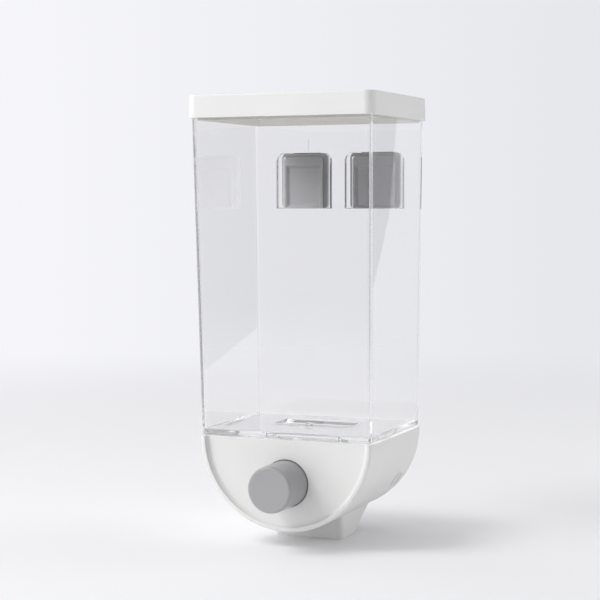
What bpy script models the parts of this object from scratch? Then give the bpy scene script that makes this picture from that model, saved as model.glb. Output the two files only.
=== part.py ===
# Wall-hung cereal dispenser with a push-button shutter.
# Metres, +Z up. Pieces are placed from the seam where the tank meets the base:
# X to the right, Y towards the wall, Z up, with the plan centre of the tank's top at zero.
# The assembly empty then moves everything, so that the spout's foot stands at height zero.

import math

import bmesh
import bpy
from mathutils import Matrix, Vector

# Clearances shared by all pieces
fit_gap = 0.0003
slide_gap = 0.0004
overrun = 0.0010

# Tank: the back wall is upright, the front and the sides lean outwards towards the top
tank_height = 0.1900
tank_top_width = 0.1145
tank_top_depth = 0.0940
tank_bottom_width = 0.1092
tank_bottom_depth = 0.0874
tank_wall = 0.0020
tank_floor = 0.0036
tank_corner = 0.0032
tank_inner_corner = 0.0014
tank_foot_radius = 0.0024
floor_fillet = 0.0010

# Opening in the tank's floor, with a collar that reaches into the hopper
mouth_side_margin = 0.0070
mouth_back_inset = 0.0190
mouth_depth = 0.0280
mouth_corner = 0.0050
collar_wall = 0.0016

# Small notch under the tank's front edge, for prying it off the base
notch_centre = 0.0080
notch_width = 0.0066
notch_height = 0.0015
notch_depth = 0.0030

# Snap tabs under the tank's sides, which catch below the hopper's deck
tab_back_inset = 0.0490
tab_width = 0.0220
tab_thickness = 0.0016
tab_reach = 0.0055
tab_barb = 0.0012
tab_inset = 0.0045
tab_root = 0.0008

# Lid
lid_overhang = 0.00195
lid_height = 0.0139
lid_wall = 0.0013
lid_top_thickness = 0.0024
lid_corner = 0.0060
lid_draft = 0.00028
lid_edge = 0.0011

# Plug under the lid: a ring with a ledge that carries the seal, and a plate across it
plug_drop = 0.00125
plug_gap = 0.0006
plug_wall = 0.0012
plug_corner = 0.0030
plug_ledge_height = 0.0022
plug_ledge_width = 0.0010
plug_plate_rise = 0.0043
lid_seal_height = 0.0026

# Hook pockets on the tank's back wall
pocket_centre = 0.0235
pocket_width = 0.0370
pocket_drop = 0.0185
pocket_height = 0.0355
pocket_rail = 0.0050
pocket_bar = 0.0026
pocket_corner = 0.0050
pocket_slot_depth = 0.0029
pocket_lip_depth = 0.0016
pocket_lip_width = 0.0035
pocket_root = 0.0008

# Wall hooks and their adhesive pads
hook_corner = 0.0008
hook_lead_in = 0.0048
hook_side_slope = 0.0012
hook_border = 0.0029
hook_border_top = 0.0014
hook_border_foot = 0.0013
hook_recess = 0.0014
hook_recess_slope = 0.0004
hook_recess_corner = 0.0018
hook_plate_inset = 0.0026
hook_plate_corner = 0.0030
hook_plate_thickness = 0.0024
pad_thickness = 0.0010
pad_inset = 0.0006

# Base: a half-round housing, open at the top and at the back
base_reveal = 0.0002
base_front_reveal = 0.00015
base_wall = 0.0022
rim_width = 0.0028
rim_fillet = 0.0015
rim_inner_fillet = 0.0003
panel_recess = 0.0028
panel_fillet = 0.0024
panel_thickness = 0.0022

# Spout under the base; its back wall leans, so that the food slides forwards
spout_length = 0.0099
spout_side_inset = 0.0322
spout_front_inset = 0.0516
spout_foot_depth = 0.0211
spout_back_slope = 1.81
spout_wall = 0.0020
spout_corner = 0.0040
spout_back_corner = 0.0015
spout_shoulder_rise = 0.0046

# Screws, one size in a few lengths
screw_head_radius = 0.0021
screw_head_height = 0.0013
screw_shank_radius = 0.0011
screw_tip = 0.0009
screw_slot_width = 0.0006
screw_slot_length = 0.0028
screw_slot_depth = 0.0007
deck_screw_length = 0.0080
tray_screw_length = 0.0082
cover_screw_length = 0.0080
button_screw_length = 0.0170
gate_screw_length = 0.0037

# Posts inside the base for the deck and for the back cover
post_radius = 0.0032
deck_post_side_inset = 0.0126
deck_post_front_inset = 0.0124
deck_post_back_inset = 0.0090
cover_post_radius = 0.0046
cover_post_length = 0.0080
cover_post_bite = 0.0008
cover_post_high_degrees = 18.0
cover_post_low_degrees = 46.0

# Hopper: deck, funnel, flange round the throat and the spring's post
deck_drop = 0.00045
deck_thickness = 0.0026
deck_side_gap = 0.0006
deck_corner = 0.0020
funnel_wall = 0.0018
throat_side_margin = 0.0046
throat_back_inset = 0.0240
throat_length = 0.0110
throat_corner = 0.0015
flange_thickness = 0.0026
flange_side_margin = 0.0080
flange_front_margin = 0.0100
flange_back_margin = 0.0110
flange_below_axis = 0.00735
gasket_height = 0.0014
gasket_width = 0.0024
gasket_inset = 0.0016
throat_seal_width = 0.0016
throat_seal_height = 0.0010
throat_seal_inset = 0.0012

# Shutter, its tray and the duct below it
gate_thickness = 0.0020
gate_side_margin = 0.0034
gate_overlap = 0.0030
gate_travel = 0.0130
gate_aperture_corner = 0.0010
tray_thickness = 0.0021
tray_front_margin = 0.0160
tray_back_margin = 0.0170
tray_aperture_margin = 0.0006
tray_screw_side_margin = 0.0058
tray_screw_front_margin = 0.0060
tray_screw_back_margin = 0.0070
chute_flange_thickness = 0.0020
chute_wall = 0.0015
chute_foot_lift = 0.0020
chute_foot_length = 0.0135
chute_side_gap = 0.0005

# Push button
button_rise = 0.001575
button_radius = 0.01387
button_hole_radius = 0.01425
button_reach = 0.02225
button_fillet = 0.0017
button_wall = 0.0018
button_boss_radius = 0.0042
button_boss_gap = 0.0100
button_dish = 0.0002
plunger_radius = 0.0162
plunger_thickness = 0.0022
plunger_neck_radius = 0.0060
plunger_foot_half_width = 0.0090
plunger_foot_length = 0.0125
plunger_foot_thickness = 0.0016
plunger_cup_length = 0.0045
plunger_cup_wall = 0.0012
gate_screw_half_width = 0.0060
gate_screw_setback = 0.0082

# Return spring and its post
spring_radius = 0.0050
spring_wire = 0.0010
spring_turns = 9
spring_post_radius = 0.0066
spring_post_reach = 0.01605
spring_post_embed = 0.0120
spring_pin_radius = 0.0032
spring_pin_length = 0.0080
spring_pin_tip = 0.0006

# Counts
corner_steps = 3
fine_corner_steps = 5
base_steps = 36
button_steps = 40
screw_steps = 10
fillet_steps = 3
spring_turn_steps = 10
spring_sides = 5

# Sizes that follow from the ones above
tank_back = tank_top_depth / 2
tank_bottom_front = tank_back - tank_bottom_depth
tab_centre = tank_back - tab_back_inset
pocket_top = tank_height - pocket_drop
pocket_bottom = pocket_top - pocket_height
lid_underside = tank_height + lid_height - lid_top_thickness
tank_rim = lid_underside - fit_gap
base_top = -fit_gap
base_radius = tank_bottom_width / 2 + base_reveal
base_inner_radius = base_radius - base_wall
base_front = tank_bottom_front - base_front_reveal
base_back = tank_back
panel_front = base_front + panel_recess
panel_back = panel_front + panel_thickness
button_face = base_front - button_reach
slot_face = tank_back + pocket_slot_depth
lip_face = slot_face + pocket_lip_depth
hook_wall_face = lip_face + fit_gap + hook_plate_thickness
pad_face = hook_wall_face + fit_gap + pad_thickness
plan_shift = -(button_face + pad_face) / 2
deck_top = -deck_drop
deck_bottom = deck_top - deck_thickness
collar_foot = deck_bottom + fit_gap
button_axis = (deck_bottom + base_top - base_inner_radius) / 2 + button_rise
spout_foot = base_top - base_radius - spout_length
spout_shoulder = base_top - base_radius + spout_shoulder_rise
spout_half_width = base_radius - spout_side_inset
spout_front = base_back - spout_front_inset
throat_half_width = spout_half_width - throat_side_margin
throat_back = base_back - throat_back_inset
throat_front = throat_back - throat_length
mouth_half_width = throat_half_width + mouth_side_margin
mouth_back = tank_back - mouth_back_inset
mouth_front = mouth_back - mouth_depth
flange_bottom = button_axis - flange_below_axis
flange_top = flange_bottom + flange_thickness
flange_half_width = throat_half_width + flange_side_margin
flange_front = throat_front - flange_front_margin
flange_back = throat_back + flange_back_margin
gate_half_width = throat_half_width + gate_side_margin
gate_top = flange_bottom - slide_gap
gate_bottom = gate_top - gate_thickness
tray_top = gate_bottom - fit_gap
tray_bottom = tray_top - tray_thickness
tray_front = throat_front - tray_front_margin
tray_back = throat_back + tray_back_margin
chute_top = tray_bottom - fit_gap
chute_flange_bottom = chute_top - chute_flange_thickness
chute_foot_front = spout_front + spout_wall + fit_gap + chute_wall
chute_foot_half_width = spout_half_width - spout_wall - chute_side_gap - chute_wall
plunger_front = panel_back + fit_gap
plunger_back = plunger_front + plunger_thickness
gate_front = plunger_back + fit_gap
gate_screw_place = plunger_back + gate_screw_setback
spring_front = plunger_back + fit_gap
post_face = throat_front - spring_post_reach
spring_length = post_face - fit_gap - spring_front
counterbore_radius = screw_head_radius + fit_gap
screw_hole_radius = screw_shank_radius + fit_gap
counterbore_depth = screw_head_height + fit_gap


def clear_scene():
    for piece in list(bpy.data.objects):
        bpy.data.objects.remove(piece)


# Materials


def material(name, colour, roughness, metallic=0.0, transmission=0.0):
    finish = bpy.data.materials.get(name)
    if finish:
        return finish
    finish = bpy.data.materials.new(name)
    finish.use_nodes = True
    shader = finish.node_tree.nodes["Principled BSDF"]
    shader.inputs["Base Color"].default_value = (*colour, 1.0)
    shader.inputs["Roughness"].default_value = roughness
    shader.inputs["Metallic"].default_value = metallic
    shader.inputs["Transmission Weight"].default_value = transmission
    finish.diffuse_color = (*colour, 1.0)
    return finish


def white_plastic():
    return material("white_plastic", (0.82, 0.82, 0.80), 0.38)


def inner_plastic():
    return material("inner_plastic", (0.70, 0.69, 0.66), 0.45)


def grey_plastic():
    return material("grey_plastic", (0.30, 0.30, 0.32), 0.42)


def clear_plastic():
    return material("clear_plastic", (0.93, 0.95, 0.96), 0.05, transmission=1.0)


def soft_seal():
    return material("soft_seal", (0.62, 0.61, 0.58), 0.55)


def foam_pad():
    return material("foam_pad", (0.86, 0.86, 0.84), 0.80)


def spring_steel():
    return material("spring_steel", (0.55, 0.55, 0.56), 0.28, metallic=1.0)


def screw_steel():
    return material("screw_steel", (0.48, 0.48, 0.50), 0.34, metallic=1.0)


# Shape helpers


def outline(left, right, front, back, corner, steps=corner_steps, back_corner=None):
    # Rounded rectangle as flat points, anticlockwise from the near right corner.
    near = min(corner, (right - left) / 2, (back - front) / 2)
    far = near if back_corner is None else back_corner
    centres = (
        (right - near, front + near, near, -90),
        (right - far, back - far, far, 0),
        (left + far, back - far, far, 90),
        (left + near, front + near, near, 180),
    )
    points = []
    for centre_x, centre_y, radius, start in centres:
        for step in range(steps + 1):
            angle = math.radians(start + 90 * step / steps)
            points.append((centre_x + radius * math.cos(angle), centre_y + radius * math.sin(angle)))
    return points


def grown(bounds, margin):
    left, right, front, back = bounds
    return (left - margin, right + margin, front - margin, back + margin)


def level(points, height):
    return [Vector((x, y, height)) for x, y in points]


def upright(points, depth):
    # The same points standing in a plane across Y.
    return [Vector((x, depth, z)) for x, z in points]


def solid(name, rings, closed=False):
    # Skin of quads over rings of equal length; the ends are capped, or joined when closed.
    shape = bmesh.new()
    rows = [[shape.verts.new(point) for point in ring] for ring in rings]
    count = len(rows[0])
    pairs = list(zip(rows, rows[1:]))
    if closed:
        pairs.append((rows[-1], rows[0]))
    for lower, upper in pairs:
        for index in range(count):
            after = (index + 1) % count
            shape.faces.new((lower[index], lower[after], upper[after], upper[index]))
    if not closed:
        shape.faces.new(rows[0])
        shape.faces.new(rows[-1])
    return finished(name, shape)


def merge_close(shape):
    # Joins corners that lie within a thousandth of the overrun, and drops what then has no length.
    bmesh.ops.remove_doubles(shape, verts=shape.verts, dist=overrun / 1000)
    bmesh.ops.dissolve_degenerate(shape, edges=shape.edges, dist=overrun / 1000)


def finished(name, shape):
    merge_close(shape)
    bmesh.ops.recalc_face_normals(shape, faces=shape.faces)
    mesh = bpy.data.meshes.new(name)
    shape.to_mesh(mesh)
    shape.free()
    piece = bpy.data.objects.new(name, mesh)
    bpy.context.scene.collection.objects.link(piece)
    return piece


def turned(name, profile, steps, half=False):
    # Profile of (radius, height) turned about Z, all the way or half way round towards +Y.
    # A full turn starts half a step round, so that no corner lies on a plane of symmetry.
    sweep = math.pi if half else 2 * math.pi
    phase = 0 if half else 0.5
    rings = []
    for step in range(steps + 1 if half else steps):
        angle = sweep * (step + phase) / steps
        rings.append([
            Vector((radius * math.cos(angle), radius * math.sin(angle), height))
            for radius, height in profile
        ])
    shape = bmesh.new()
    rows = [[shape.verts.new(point) for point in ring] for ring in rings]
    count = len(profile)
    pairs = list(zip(rows, rows[1:]))
    if not half:
        pairs.append((rows[-1], rows[0]))
    for one, other in pairs:
        for index in range(count):
            after = (index + 1) % count
            if profile[index][0] == 0 and profile[after][0] == 0:
                continue
            shape.faces.new((one[index], one[after], other[after], other[index]))
    if half:
        shape.faces.new(rows[0])
        shape.faces.new(rows[-1])
    return finished(name, shape)


def fillet(centre_radius, centre_height, size, start, end, steps=fillet_steps):
    # Points of an arc in a turned profile, between two angles in degrees.
    points = []
    for step in range(steps + 1):
        angle = math.radians(start + (end - start) * step / steps)
        points.append((centre_radius + size * math.cos(angle), centre_height + size * math.sin(angle)))
    return points


def rod(name, radius, low, high, steps=screw_steps):
    return turned(name, [(0, low), (radius, low), (radius, high), (0, high)], steps)


def bar(name, left, right, front, back, low, high):
    ring = outline(left, right, front, back, fit_gap, 1)
    return solid(name, [level(ring, low), level(ring, high)])


def combine(body, tool, operation):
    # Boolean of two closed solids, applied at once; the tool is used up.
    bpy.context.view_layer.update()
    step = body.modifiers.new("combine", "BOOLEAN")
    step.object = tool
    step.operation = operation
    step.solver = "EXACT"
    graph = bpy.context.evaluated_depsgraph_get()
    joined = bpy.data.meshes.new_from_object(body.evaluated_get(graph))
    body.modifiers.remove(step)
    shape = bmesh.new()
    shape.from_mesh(joined)
    merge_close(shape)
    shape.to_mesh(joined)
    shape.free()
    body.data = joined
    joined.name = body.name
    bpy.data.objects.remove(tool)


def cut(body, tool):
    combine(body, tool, "DIFFERENCE")


def join(body, tool):
    combine(body, tool, "UNION")


def along_y(piece, x=0.0, z=0.0):
    # Lays a piece that was made along +Z along +Y, with its +Y side down.
    for corner in piece.data.vertices:
        corner.co = (corner.co.x, corner.co.z, -corner.co.y)
    piece.location = (x, 0, z)
    return piece


def keep(piece, finish, origin, smooth_degrees=30):
    # Gives the piece its finish and its origin, without moving it.
    bpy.context.view_layer.update()
    mesh = piece.data
    mesh.transform(piece.matrix_world)
    mesh.transform(Matrix.Translation(-Vector(origin)))
    piece.rotation_euler = (0, 0, 0)
    piece.location = origin
    mesh.materials.clear()
    mesh.materials.append(finish)
    mesh.shade_smooth()
    mesh.set_sharp_from_angle(angle=math.radians(smooth_degrees))
    return piece


# Tank sizes at a height above the seam


def tank_half_width(height):
    share = min(height / tank_height, 1)
    return (tank_bottom_width + (tank_top_width - tank_bottom_width) * share) / 2


def tank_front(height):
    share = min(height / tank_height, 1)
    return tank_back - tank_bottom_depth - (tank_top_depth - tank_bottom_depth) * share


def tank_bounds(height, inset=0.0):
    half = tank_half_width(height) - inset
    return (-half, half, tank_front(height) + inset, tank_back - inset)


# Tank


def tank():
    rings = []
    floor_levels = ((tank_floor, floor_fillet), (tank_floor + floor_fillet, 0.0))
    for height, extra in floor_levels:
        bounds = tank_bounds(height, tank_wall + extra)
        rings.append(level(outline(*bounds, tank_inner_corner, fine_corner_steps), height))
    for height in (tank_height, tank_rim):
        bounds = tank_bounds(height, tank_wall)
        rings.append(level(outline(*bounds, tank_inner_corner, fine_corner_steps), height))
    for height in (tank_rim, tank_height):
        bounds = tank_bounds(height)
        rings.append(level(outline(*bounds, tank_corner, fine_corner_steps), height))
    for step in range(fillet_steps + 1):
        angle = math.radians(90 * step / fillet_steps)
        height = tank_foot_radius * (1 - math.sin(angle))
        inset = tank_foot_radius * (1 - math.cos(angle))
        view = outline(*tank_bounds(height, inset), tank_corner - inset, fine_corner_steps)
        rings.append(level(view, height))
    piece = solid("tank", rings)
    for side in (-1, 1):
        join(piece, tank_tab(side))
        join(piece, hook_pocket(side))
    mouth = (-mouth_half_width, mouth_half_width, mouth_front, mouth_back)
    collar = outline(*grown(mouth, collar_wall), mouth_corner + collar_wall)
    join(piece, solid("collar", [level(collar, collar_foot), level(collar, tank_floor / 2)]))
    bore = outline(*mouth, mouth_corner)
    cut(piece, solid("bore", [level(bore, collar_foot - overrun), level(bore, tank_floor + overrun)]))
    notch_left = notch_centre - notch_width / 2
    notch_right = notch_centre + notch_width / 2
    notch_inside = tank_bottom_front + notch_depth
    notch_outside = base_front - overrun
    cut(piece, bar("notch", notch_left, notch_right, notch_outside, notch_inside, -overrun, notch_height))
    return keep(piece, clear_plastic(), (0, 0, 0))


def tank_tab(side):
    # Hooked tab, drawn as a side view and swept along the tank's side.
    outer = tank_bottom_width / 2 - tab_inset
    inner = outer - tab_thickness
    catch = deck_bottom - fit_gap
    view = [
        (outer, tab_root),
        (outer, -tab_reach),
        (inner, -tab_reach),
        (inner - tab_barb, catch - tab_barb),
        (inner - tab_barb, catch),
        (inner, catch),
        (inner, tab_root),
    ]
    front = tab_centre - tab_width / 2
    back = tab_centre + tab_width / 2
    rings = [[Vector((side * x, y, z)) for x, z in view] for y in (front, back)]
    return solid("tab", rings)


def pocket_view(side, rail, top_bar):
    # Frame that is open at the bottom: up the outside, round the corners and back inside.
    left = side * pocket_centre - pocket_width / 2
    right = side * pocket_centre + pocket_width / 2
    points = [(right, pocket_bottom)]
    for centre, start in ((right - pocket_corner, 0), (left + pocket_corner, 90)):
        for step in range(corner_steps + 1):
            angle = math.radians(start + 90 * step / corner_steps)
            height = pocket_top - pocket_corner + pocket_corner * math.sin(angle)
            points.append((centre + pocket_corner * math.cos(angle), height))
    points.append((left, pocket_bottom))
    points.append((left + rail, pocket_bottom))
    points.append((left + rail, pocket_top - top_bar))
    points.append((right - rail, pocket_top - top_bar))
    points.append((right - rail, pocket_bottom))
    return points


def hook_pocket(side):
    slot = pocket_view(side, pocket_rail, pocket_bar)
    lip = pocket_view(side, pocket_rail + pocket_lip_width, pocket_bar + pocket_lip_width)
    rings = [
        upright(slot, tank_back - pocket_root),
        upright(slot, slot_face),
        upright(lip, slot_face),
        upright(lip, lip_face),
    ]
    return solid("pocket", rings)


# Lid


def lid_bounds(height, inset):
    draft = lid_draft * (height - tank_height) / lid_height
    half = tank_top_width / 2 + lid_overhang - draft - inset
    reach = tank_top_depth / 2 + lid_overhang - draft - inset
    return (-half, half, -reach, reach)


def lid_shell():
    top = tank_height + lid_height
    skirt_gap = lid_overhang - lid_wall
    inner_corner = tank_corner + skirt_gap / 2
    rings = []
    for height in (lid_underside, tank_height):
        bounds = lid_bounds(height, lid_wall)
        rings.append(level(outline(*bounds, inner_corner, fine_corner_steps), height))
    rings.append(level(outline(*lid_bounds(tank_height, 0), lid_corner, fine_corner_steps), tank_height))
    for step in range(fillet_steps + 1):
        angle = math.radians(90 * step / fillet_steps)
        height = top - lid_edge + lid_edge * math.sin(angle)
        inset = lid_edge * (1 - math.cos(angle))
        view = outline(*lid_bounds(height, inset), lid_corner - inset, fine_corner_steps)
        rings.append(level(view, height))
    piece = solid("lid_shell", rings)
    return keep(piece, white_plastic(), (0, 0, tank_height))


def plug_bottom():
    return tank_height - plug_drop


def plug_bounds(inset):
    return tank_bounds(plug_bottom(), tank_wall + plug_gap + inset)


def plug_wall_corner(inset=plug_ledge_width):
    return max(plug_corner - inset, plug_wall / 2)


def lid_plug():
    # Ring that is hollow above and below its plate; the ledge at its foot is wider than the wall above.
    low = plug_bottom()
    ledge_top = low + plug_ledge_height
    top = lid_underside - fit_gap
    inside = plug_ledge_width + plug_wall
    plate_foot = low + plug_plate_rise
    views = (
        (inside, plate_foot + plug_wall),
        (inside, top),
        (plug_ledge_width, top),
        (plug_ledge_width, ledge_top),
        (0.0, ledge_top),
        (0.0, low),
        (inside, low),
        (inside, plate_foot),
    )
    rings = []
    for inset, height in views:
        rings.append(level(outline(*plug_bounds(inset), plug_wall_corner(inset)), height))
    piece = solid("lid_plug", rings)
    return keep(piece, inner_plastic(), (0, 0, tank_height))


def lid_seal():
    low = plug_bottom() + plug_ledge_height + fit_gap
    high = low + lid_seal_height
    inner = plug_bounds(plug_ledge_width - fit_gap)
    outer = tank_bounds(low, tank_wall + fit_gap)
    inside = outline(*inner, plug_wall_corner() + fit_gap)
    outside = outline(*outer, plug_corner)
    rings = [level(inside, low), level(inside, high), level(outside, high), level(outside, low)]
    piece = solid("lid_seal", rings, closed=True)
    return keep(piece, soft_seal(), (0, 0, tank_height))


# Wall hooks


def hook_bounds(gap, top_bar):
    # Half width, bottom and top of a hook layer that fills the pocket down to a rail.
    half = pocket_width / 2 - gap
    return (-half, half, 0, pocket_top - top_bar - pocket_bottom - fit_gap)


def hook_plate():
    # The plate on the wall is nearly as wide as the pocket.
    return hook_bounds(hook_plate_inset, 0.0)


def hook(name, side):
    head = hook_bounds(pocket_rail + slide_gap, pocket_bar)
    neck_gap = pocket_rail + pocket_lip_width + slide_gap
    neck = hook_bounds(neck_gap, pocket_bar + pocket_lip_width)
    left, right, foot, top = head
    face = (left + hook_side_slope, right - hook_side_slope, foot, top - hook_lead_in)
    left, right, foot, top = face
    recess = (left + hook_border, right - hook_border, foot + hook_border_foot, top - hook_border_top)
    recess_floor = grown(recess, -hook_recess_slope)
    front = tank_back + fit_gap
    back = slot_face - fit_gap
    deep = front + hook_recess
    plate_front = lip_face + fit_gap
    layers = (
        (recess_floor, hook_recess_corner, deep),
        (recess, hook_recess_corner, front),
        (face, hook_corner, front),
        (head, hook_corner, back),
        (neck, hook_corner, back),
        (neck, hook_corner, plate_front),
        (hook_plate(), hook_plate_corner, plate_front),
        (hook_plate(), hook_plate_corner, hook_wall_face),
    )
    rings = []
    for bounds, corner, depth in layers:
        rings.append(upright(outline(*bounds, corner, corner_steps), depth))
    piece = solid(name, rings)
    piece.location = (side * pocket_centre, 0, pocket_bottom)
    return keep(piece, grey_plastic(), (side * pocket_centre, tank_back, pocket_bottom))


def pad(name, side):
    ring = outline(*grown(hook_plate(), -pad_inset), hook_plate_corner, corner_steps)
    piece = solid(name, [upright(ring, hook_wall_face + fit_gap), upright(ring, pad_face)])
    piece.location = (side * pocket_centre, 0, pocket_bottom)
    return keep(piece, foam_pad(), (side * pocket_centre, tank_back, pocket_bottom))


# Base


def base_profile():
    # Front panel, recess, rim and outer wall, as (radius, depth).
    recess_radius = base_radius - rim_width
    hollow = min(panel_fillet, panel_recess - rim_inner_fillet)
    points = [(0, panel_front)]
    points += fillet(recess_radius - hollow, panel_front - hollow, hollow, 90, 0)
    inner = rim_inner_fillet
    points += fillet(recess_radius + inner, base_front + inner, inner, 180, 270, 2)
    points += fillet(base_radius - rim_fillet, base_front + rim_fillet, rim_fillet, 270, 360)
    points += [(base_radius, base_back), (0, base_back)]
    return points


def spout_back(height):
    # Outer back wall of the spout, which leans back with height.
    return spout_front + spout_foot_depth + (height - spout_foot) * spout_back_slope


def spout_outside():
    shoulder = spout_shoulder
    rings = []
    for height, back in ((spout_foot, spout_foot), (shoulder, shoulder), (shoulder + base_wall, shoulder)):
        bounds = (-spout_half_width, spout_half_width, spout_front, spout_back(back))
        view = outline(*bounds, spout_corner, fine_corner_steps, spout_back_corner)
        rings.append(level(view, height))
    return solid("spout_outside", rings)


def spout_inside():
    # The leaning wall is thinner square to its face than along Y, so its inset is larger.
    back_inset = spout_wall * math.hypot(1, spout_back_slope)
    bend = base_top - base_inner_radius + base_wall
    low = spout_foot - overrun
    high = bend + 2 * base_wall
    rings = []
    levels = ((low, low), (bend, bend), (high, bend))
    for height, back in levels:
        half = spout_half_width - spout_wall
        bounds = (-half, half, spout_front + spout_wall, spout_back(back) - back_inset)
        view = outline(*bounds, spout_corner - spout_wall, fine_corner_steps, spout_back_corner)
        rings.append(level(view, height))
    return solid("spout_inside", rings)


def base_cavity():
    # Inside of the housing, which leaves the posts standing and drills them.
    points = [(base_inner_radius, overrun), (-base_inner_radius, overrun)]
    for step in range(base_steps + 1):
        angle = math.pi + math.pi * step / base_steps
        points.append((base_inner_radius * math.cos(angle), base_top + base_inner_radius * math.sin(angle)))
    cavity = solid("cavity", [upright(points, panel_back), upright(points, base_back + overrun)])
    for x, y in deck_post_places():
        post = rod("post", post_radius, -base_radius, deck_bottom - fit_gap)
        post.location = (x, y, 0)
        cut(cavity, post)
    for x, z in cover_post_places():
        post_end = cover_face() - fit_gap
        post = rod("post", cover_post_radius, post_end - cover_post_length, post_end)
        cut(cavity, along_y(post, x, z))
    for x, y in deck_post_places():
        low = deck_top - counterbore_depth - deck_screw_length - overrun
        pilot = rod("pilot", screw_hole_radius, low, deck_bottom)
        pilot.location = (x, y, 0)
        join(cavity, pilot)
    for x, z in cover_post_places():
        low = base_back - fit_gap - counterbore_depth - cover_screw_length - overrun
        pilot = rod("pilot", screw_hole_radius, low, base_back)
        join(cavity, along_y(pilot, x, z))
    return cavity


def deck_post_places():
    half_width = base_inner_radius - deck_post_side_inset
    places = []
    for y in (tank_bottom_front + deck_post_front_inset, base_back - deck_post_back_inset):
        for side in (-1, 1):
            places.append((side * half_width, y))
    return places


def cover_post_places():
    radius = base_inner_radius - cover_post_radius + cover_post_bite
    places = []
    for degrees in (cover_post_high_degrees, cover_post_low_degrees):
        for side in (-1, 1):
            angle = math.radians(degrees)
            places.append((side * radius * math.cos(angle), base_top - radius * math.sin(angle)))
    return places


def cover_face():
    # Inner face of the back cover.
    return base_back - fit_gap - base_wall


def base_shell():
    piece = along_y(turned("base_shell", base_profile(), base_steps, half=True), z=base_top)
    hole = rod("hole", button_hole_radius, base_front - overrun, panel_back + overrun, button_steps)
    cut(piece, along_y(hole, z=button_axis))
    join(piece, spout_outside())
    cut(piece, base_cavity())
    cut(piece, spout_inside())
    return keep(piece, white_plastic(), (0, 0, 0))


def back_cover():
    profile = [
        (0, cover_face()),
        (base_inner_radius - fit_gap, cover_face()),
        (base_inner_radius - fit_gap, base_back - fit_gap),
        (0, base_back - fit_gap),
    ]
    piece = along_y(turned("back_cover", profile, base_steps, half=True), z=base_top)
    for x, z in cover_post_places():
        hole = rod("hole", screw_hole_radius, cover_face() - overrun, base_back + overrun)
        cut(piece, along_y(hole, x, z))
        low = base_back - fit_gap - counterbore_depth
        head = rod("head", counterbore_radius, low, base_back + overrun)
        cut(piece, along_y(head, x, z))
    return keep(piece, white_plastic(), (0, base_back, 0))


# Hopper


def mouth_bounds():
    mouth = (-mouth_half_width, mouth_half_width, mouth_front, mouth_back)
    return grown(mouth, collar_wall + slide_gap)


def throat_bounds():
    return (-throat_half_width, throat_half_width, throat_front, throat_back)


def deck_bounds():
    side = math.sqrt(base_inner_radius ** 2 - deck_bottom ** 2) - deck_side_gap
    return (-side, side, panel_back + fit_gap, cover_face() - fit_gap)


def funnel(name, margin, low, high, overshoot=0.0):
    # Tapered block from the throat to the mouth; the corners take the margin too.
    throat = outline(*grown(throat_bounds(), margin), throat_corner + margin)
    corner = mouth_corner + collar_wall + slide_gap + margin
    mouth = outline(*grown(mouth_bounds(), margin), corner)
    rings = [level(throat, low), level(mouth, high)]
    if overshoot:
        rings = [level(throat, low - overshoot), *rings, level(mouth, deck_top + overshoot)]
    return solid(name, rings)


def spring_post():
    # Boss on the funnel's front, with a pin that reaches into the spring.
    pin_end = post_face - spring_pin_length
    profile = [
        (0, pin_end),
        (spring_pin_radius - spring_pin_tip, pin_end),
        (spring_pin_radius, pin_end + spring_pin_tip),
        (spring_pin_radius, post_face),
        (spring_post_radius, post_face),
        (spring_post_radius, post_face + spring_post_embed),
        (0, post_face + spring_post_embed),
    ]
    return along_y(turned("spring_post", profile, screw_steps), z=button_axis)


def hopper():
    deck = outline(*deck_bounds(), deck_corner)
    piece = solid("hopper", [level(deck, deck_bottom), level(deck, deck_top)])
    join(piece, funnel("outside", funnel_wall, flange_bottom, (deck_bottom + deck_top) / 2))
    flange = outline(-flange_half_width, flange_half_width, flange_front, flange_back, deck_corner)
    join(piece, solid("flange", [level(flange, flange_bottom), level(flange, flange_top)]))
    join(piece, spring_post())
    cut(piece, funnel("inside", 0.0, flange_bottom, deck_bottom, overrun))
    inner = gasket_bounds(fit_gap)
    outer = gasket_bounds(-gasket_width - fit_gap)
    cut(piece, ring_block("groove", inner, outer, deck_top - gasket_height, deck_top + overrun))
    inner = throat_seal_bounds(-fit_gap)
    outer = throat_seal_bounds(throat_seal_width + fit_gap)
    groove_top = flange_bottom + throat_seal_height + fit_gap
    cut(piece, ring_block("groove", inner, outer, flange_bottom - overrun, groove_top))
    for side in (-1, 1):
        cut(piece, tab_clearance(side))
    for x, y in deck_post_places():
        hole = rod("hole", screw_hole_radius, deck_bottom - overrun, deck_top + overrun)
        hole.location = (x, y, 0)
        cut(piece, hole)
        head = rod("head", counterbore_radius, deck_top - counterbore_depth, deck_top + overrun)
        head.location = (x, y, 0)
        cut(piece, head)
    for x, y in tray_screw_places():
        hole = rod("hole", screw_hole_radius, flange_bottom - overrun, flange_top + overrun)
        hole.location = (x, y, 0)
        cut(piece, hole)
    return keep(piece, inner_plastic(), (0, 0, deck_top))


def ring_block(name, inner, outer, low, high):
    corner = throat_corner + fit_gap
    inside = outline(*inner, corner)
    outside = outline(*outer, corner)
    rings = [level(inside, low), level(inside, high), level(outside, high), level(outside, low)]
    return solid(name, rings, closed=True)


def gasket_bounds(shrink):
    # Bounds round the hopper's mouth; a negative shrink grows them.
    return grown(mouth_bounds(), gasket_inset - shrink)


def throat_seal_bounds(growth):
    return grown(throat_bounds(), throat_seal_inset + growth)


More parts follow.
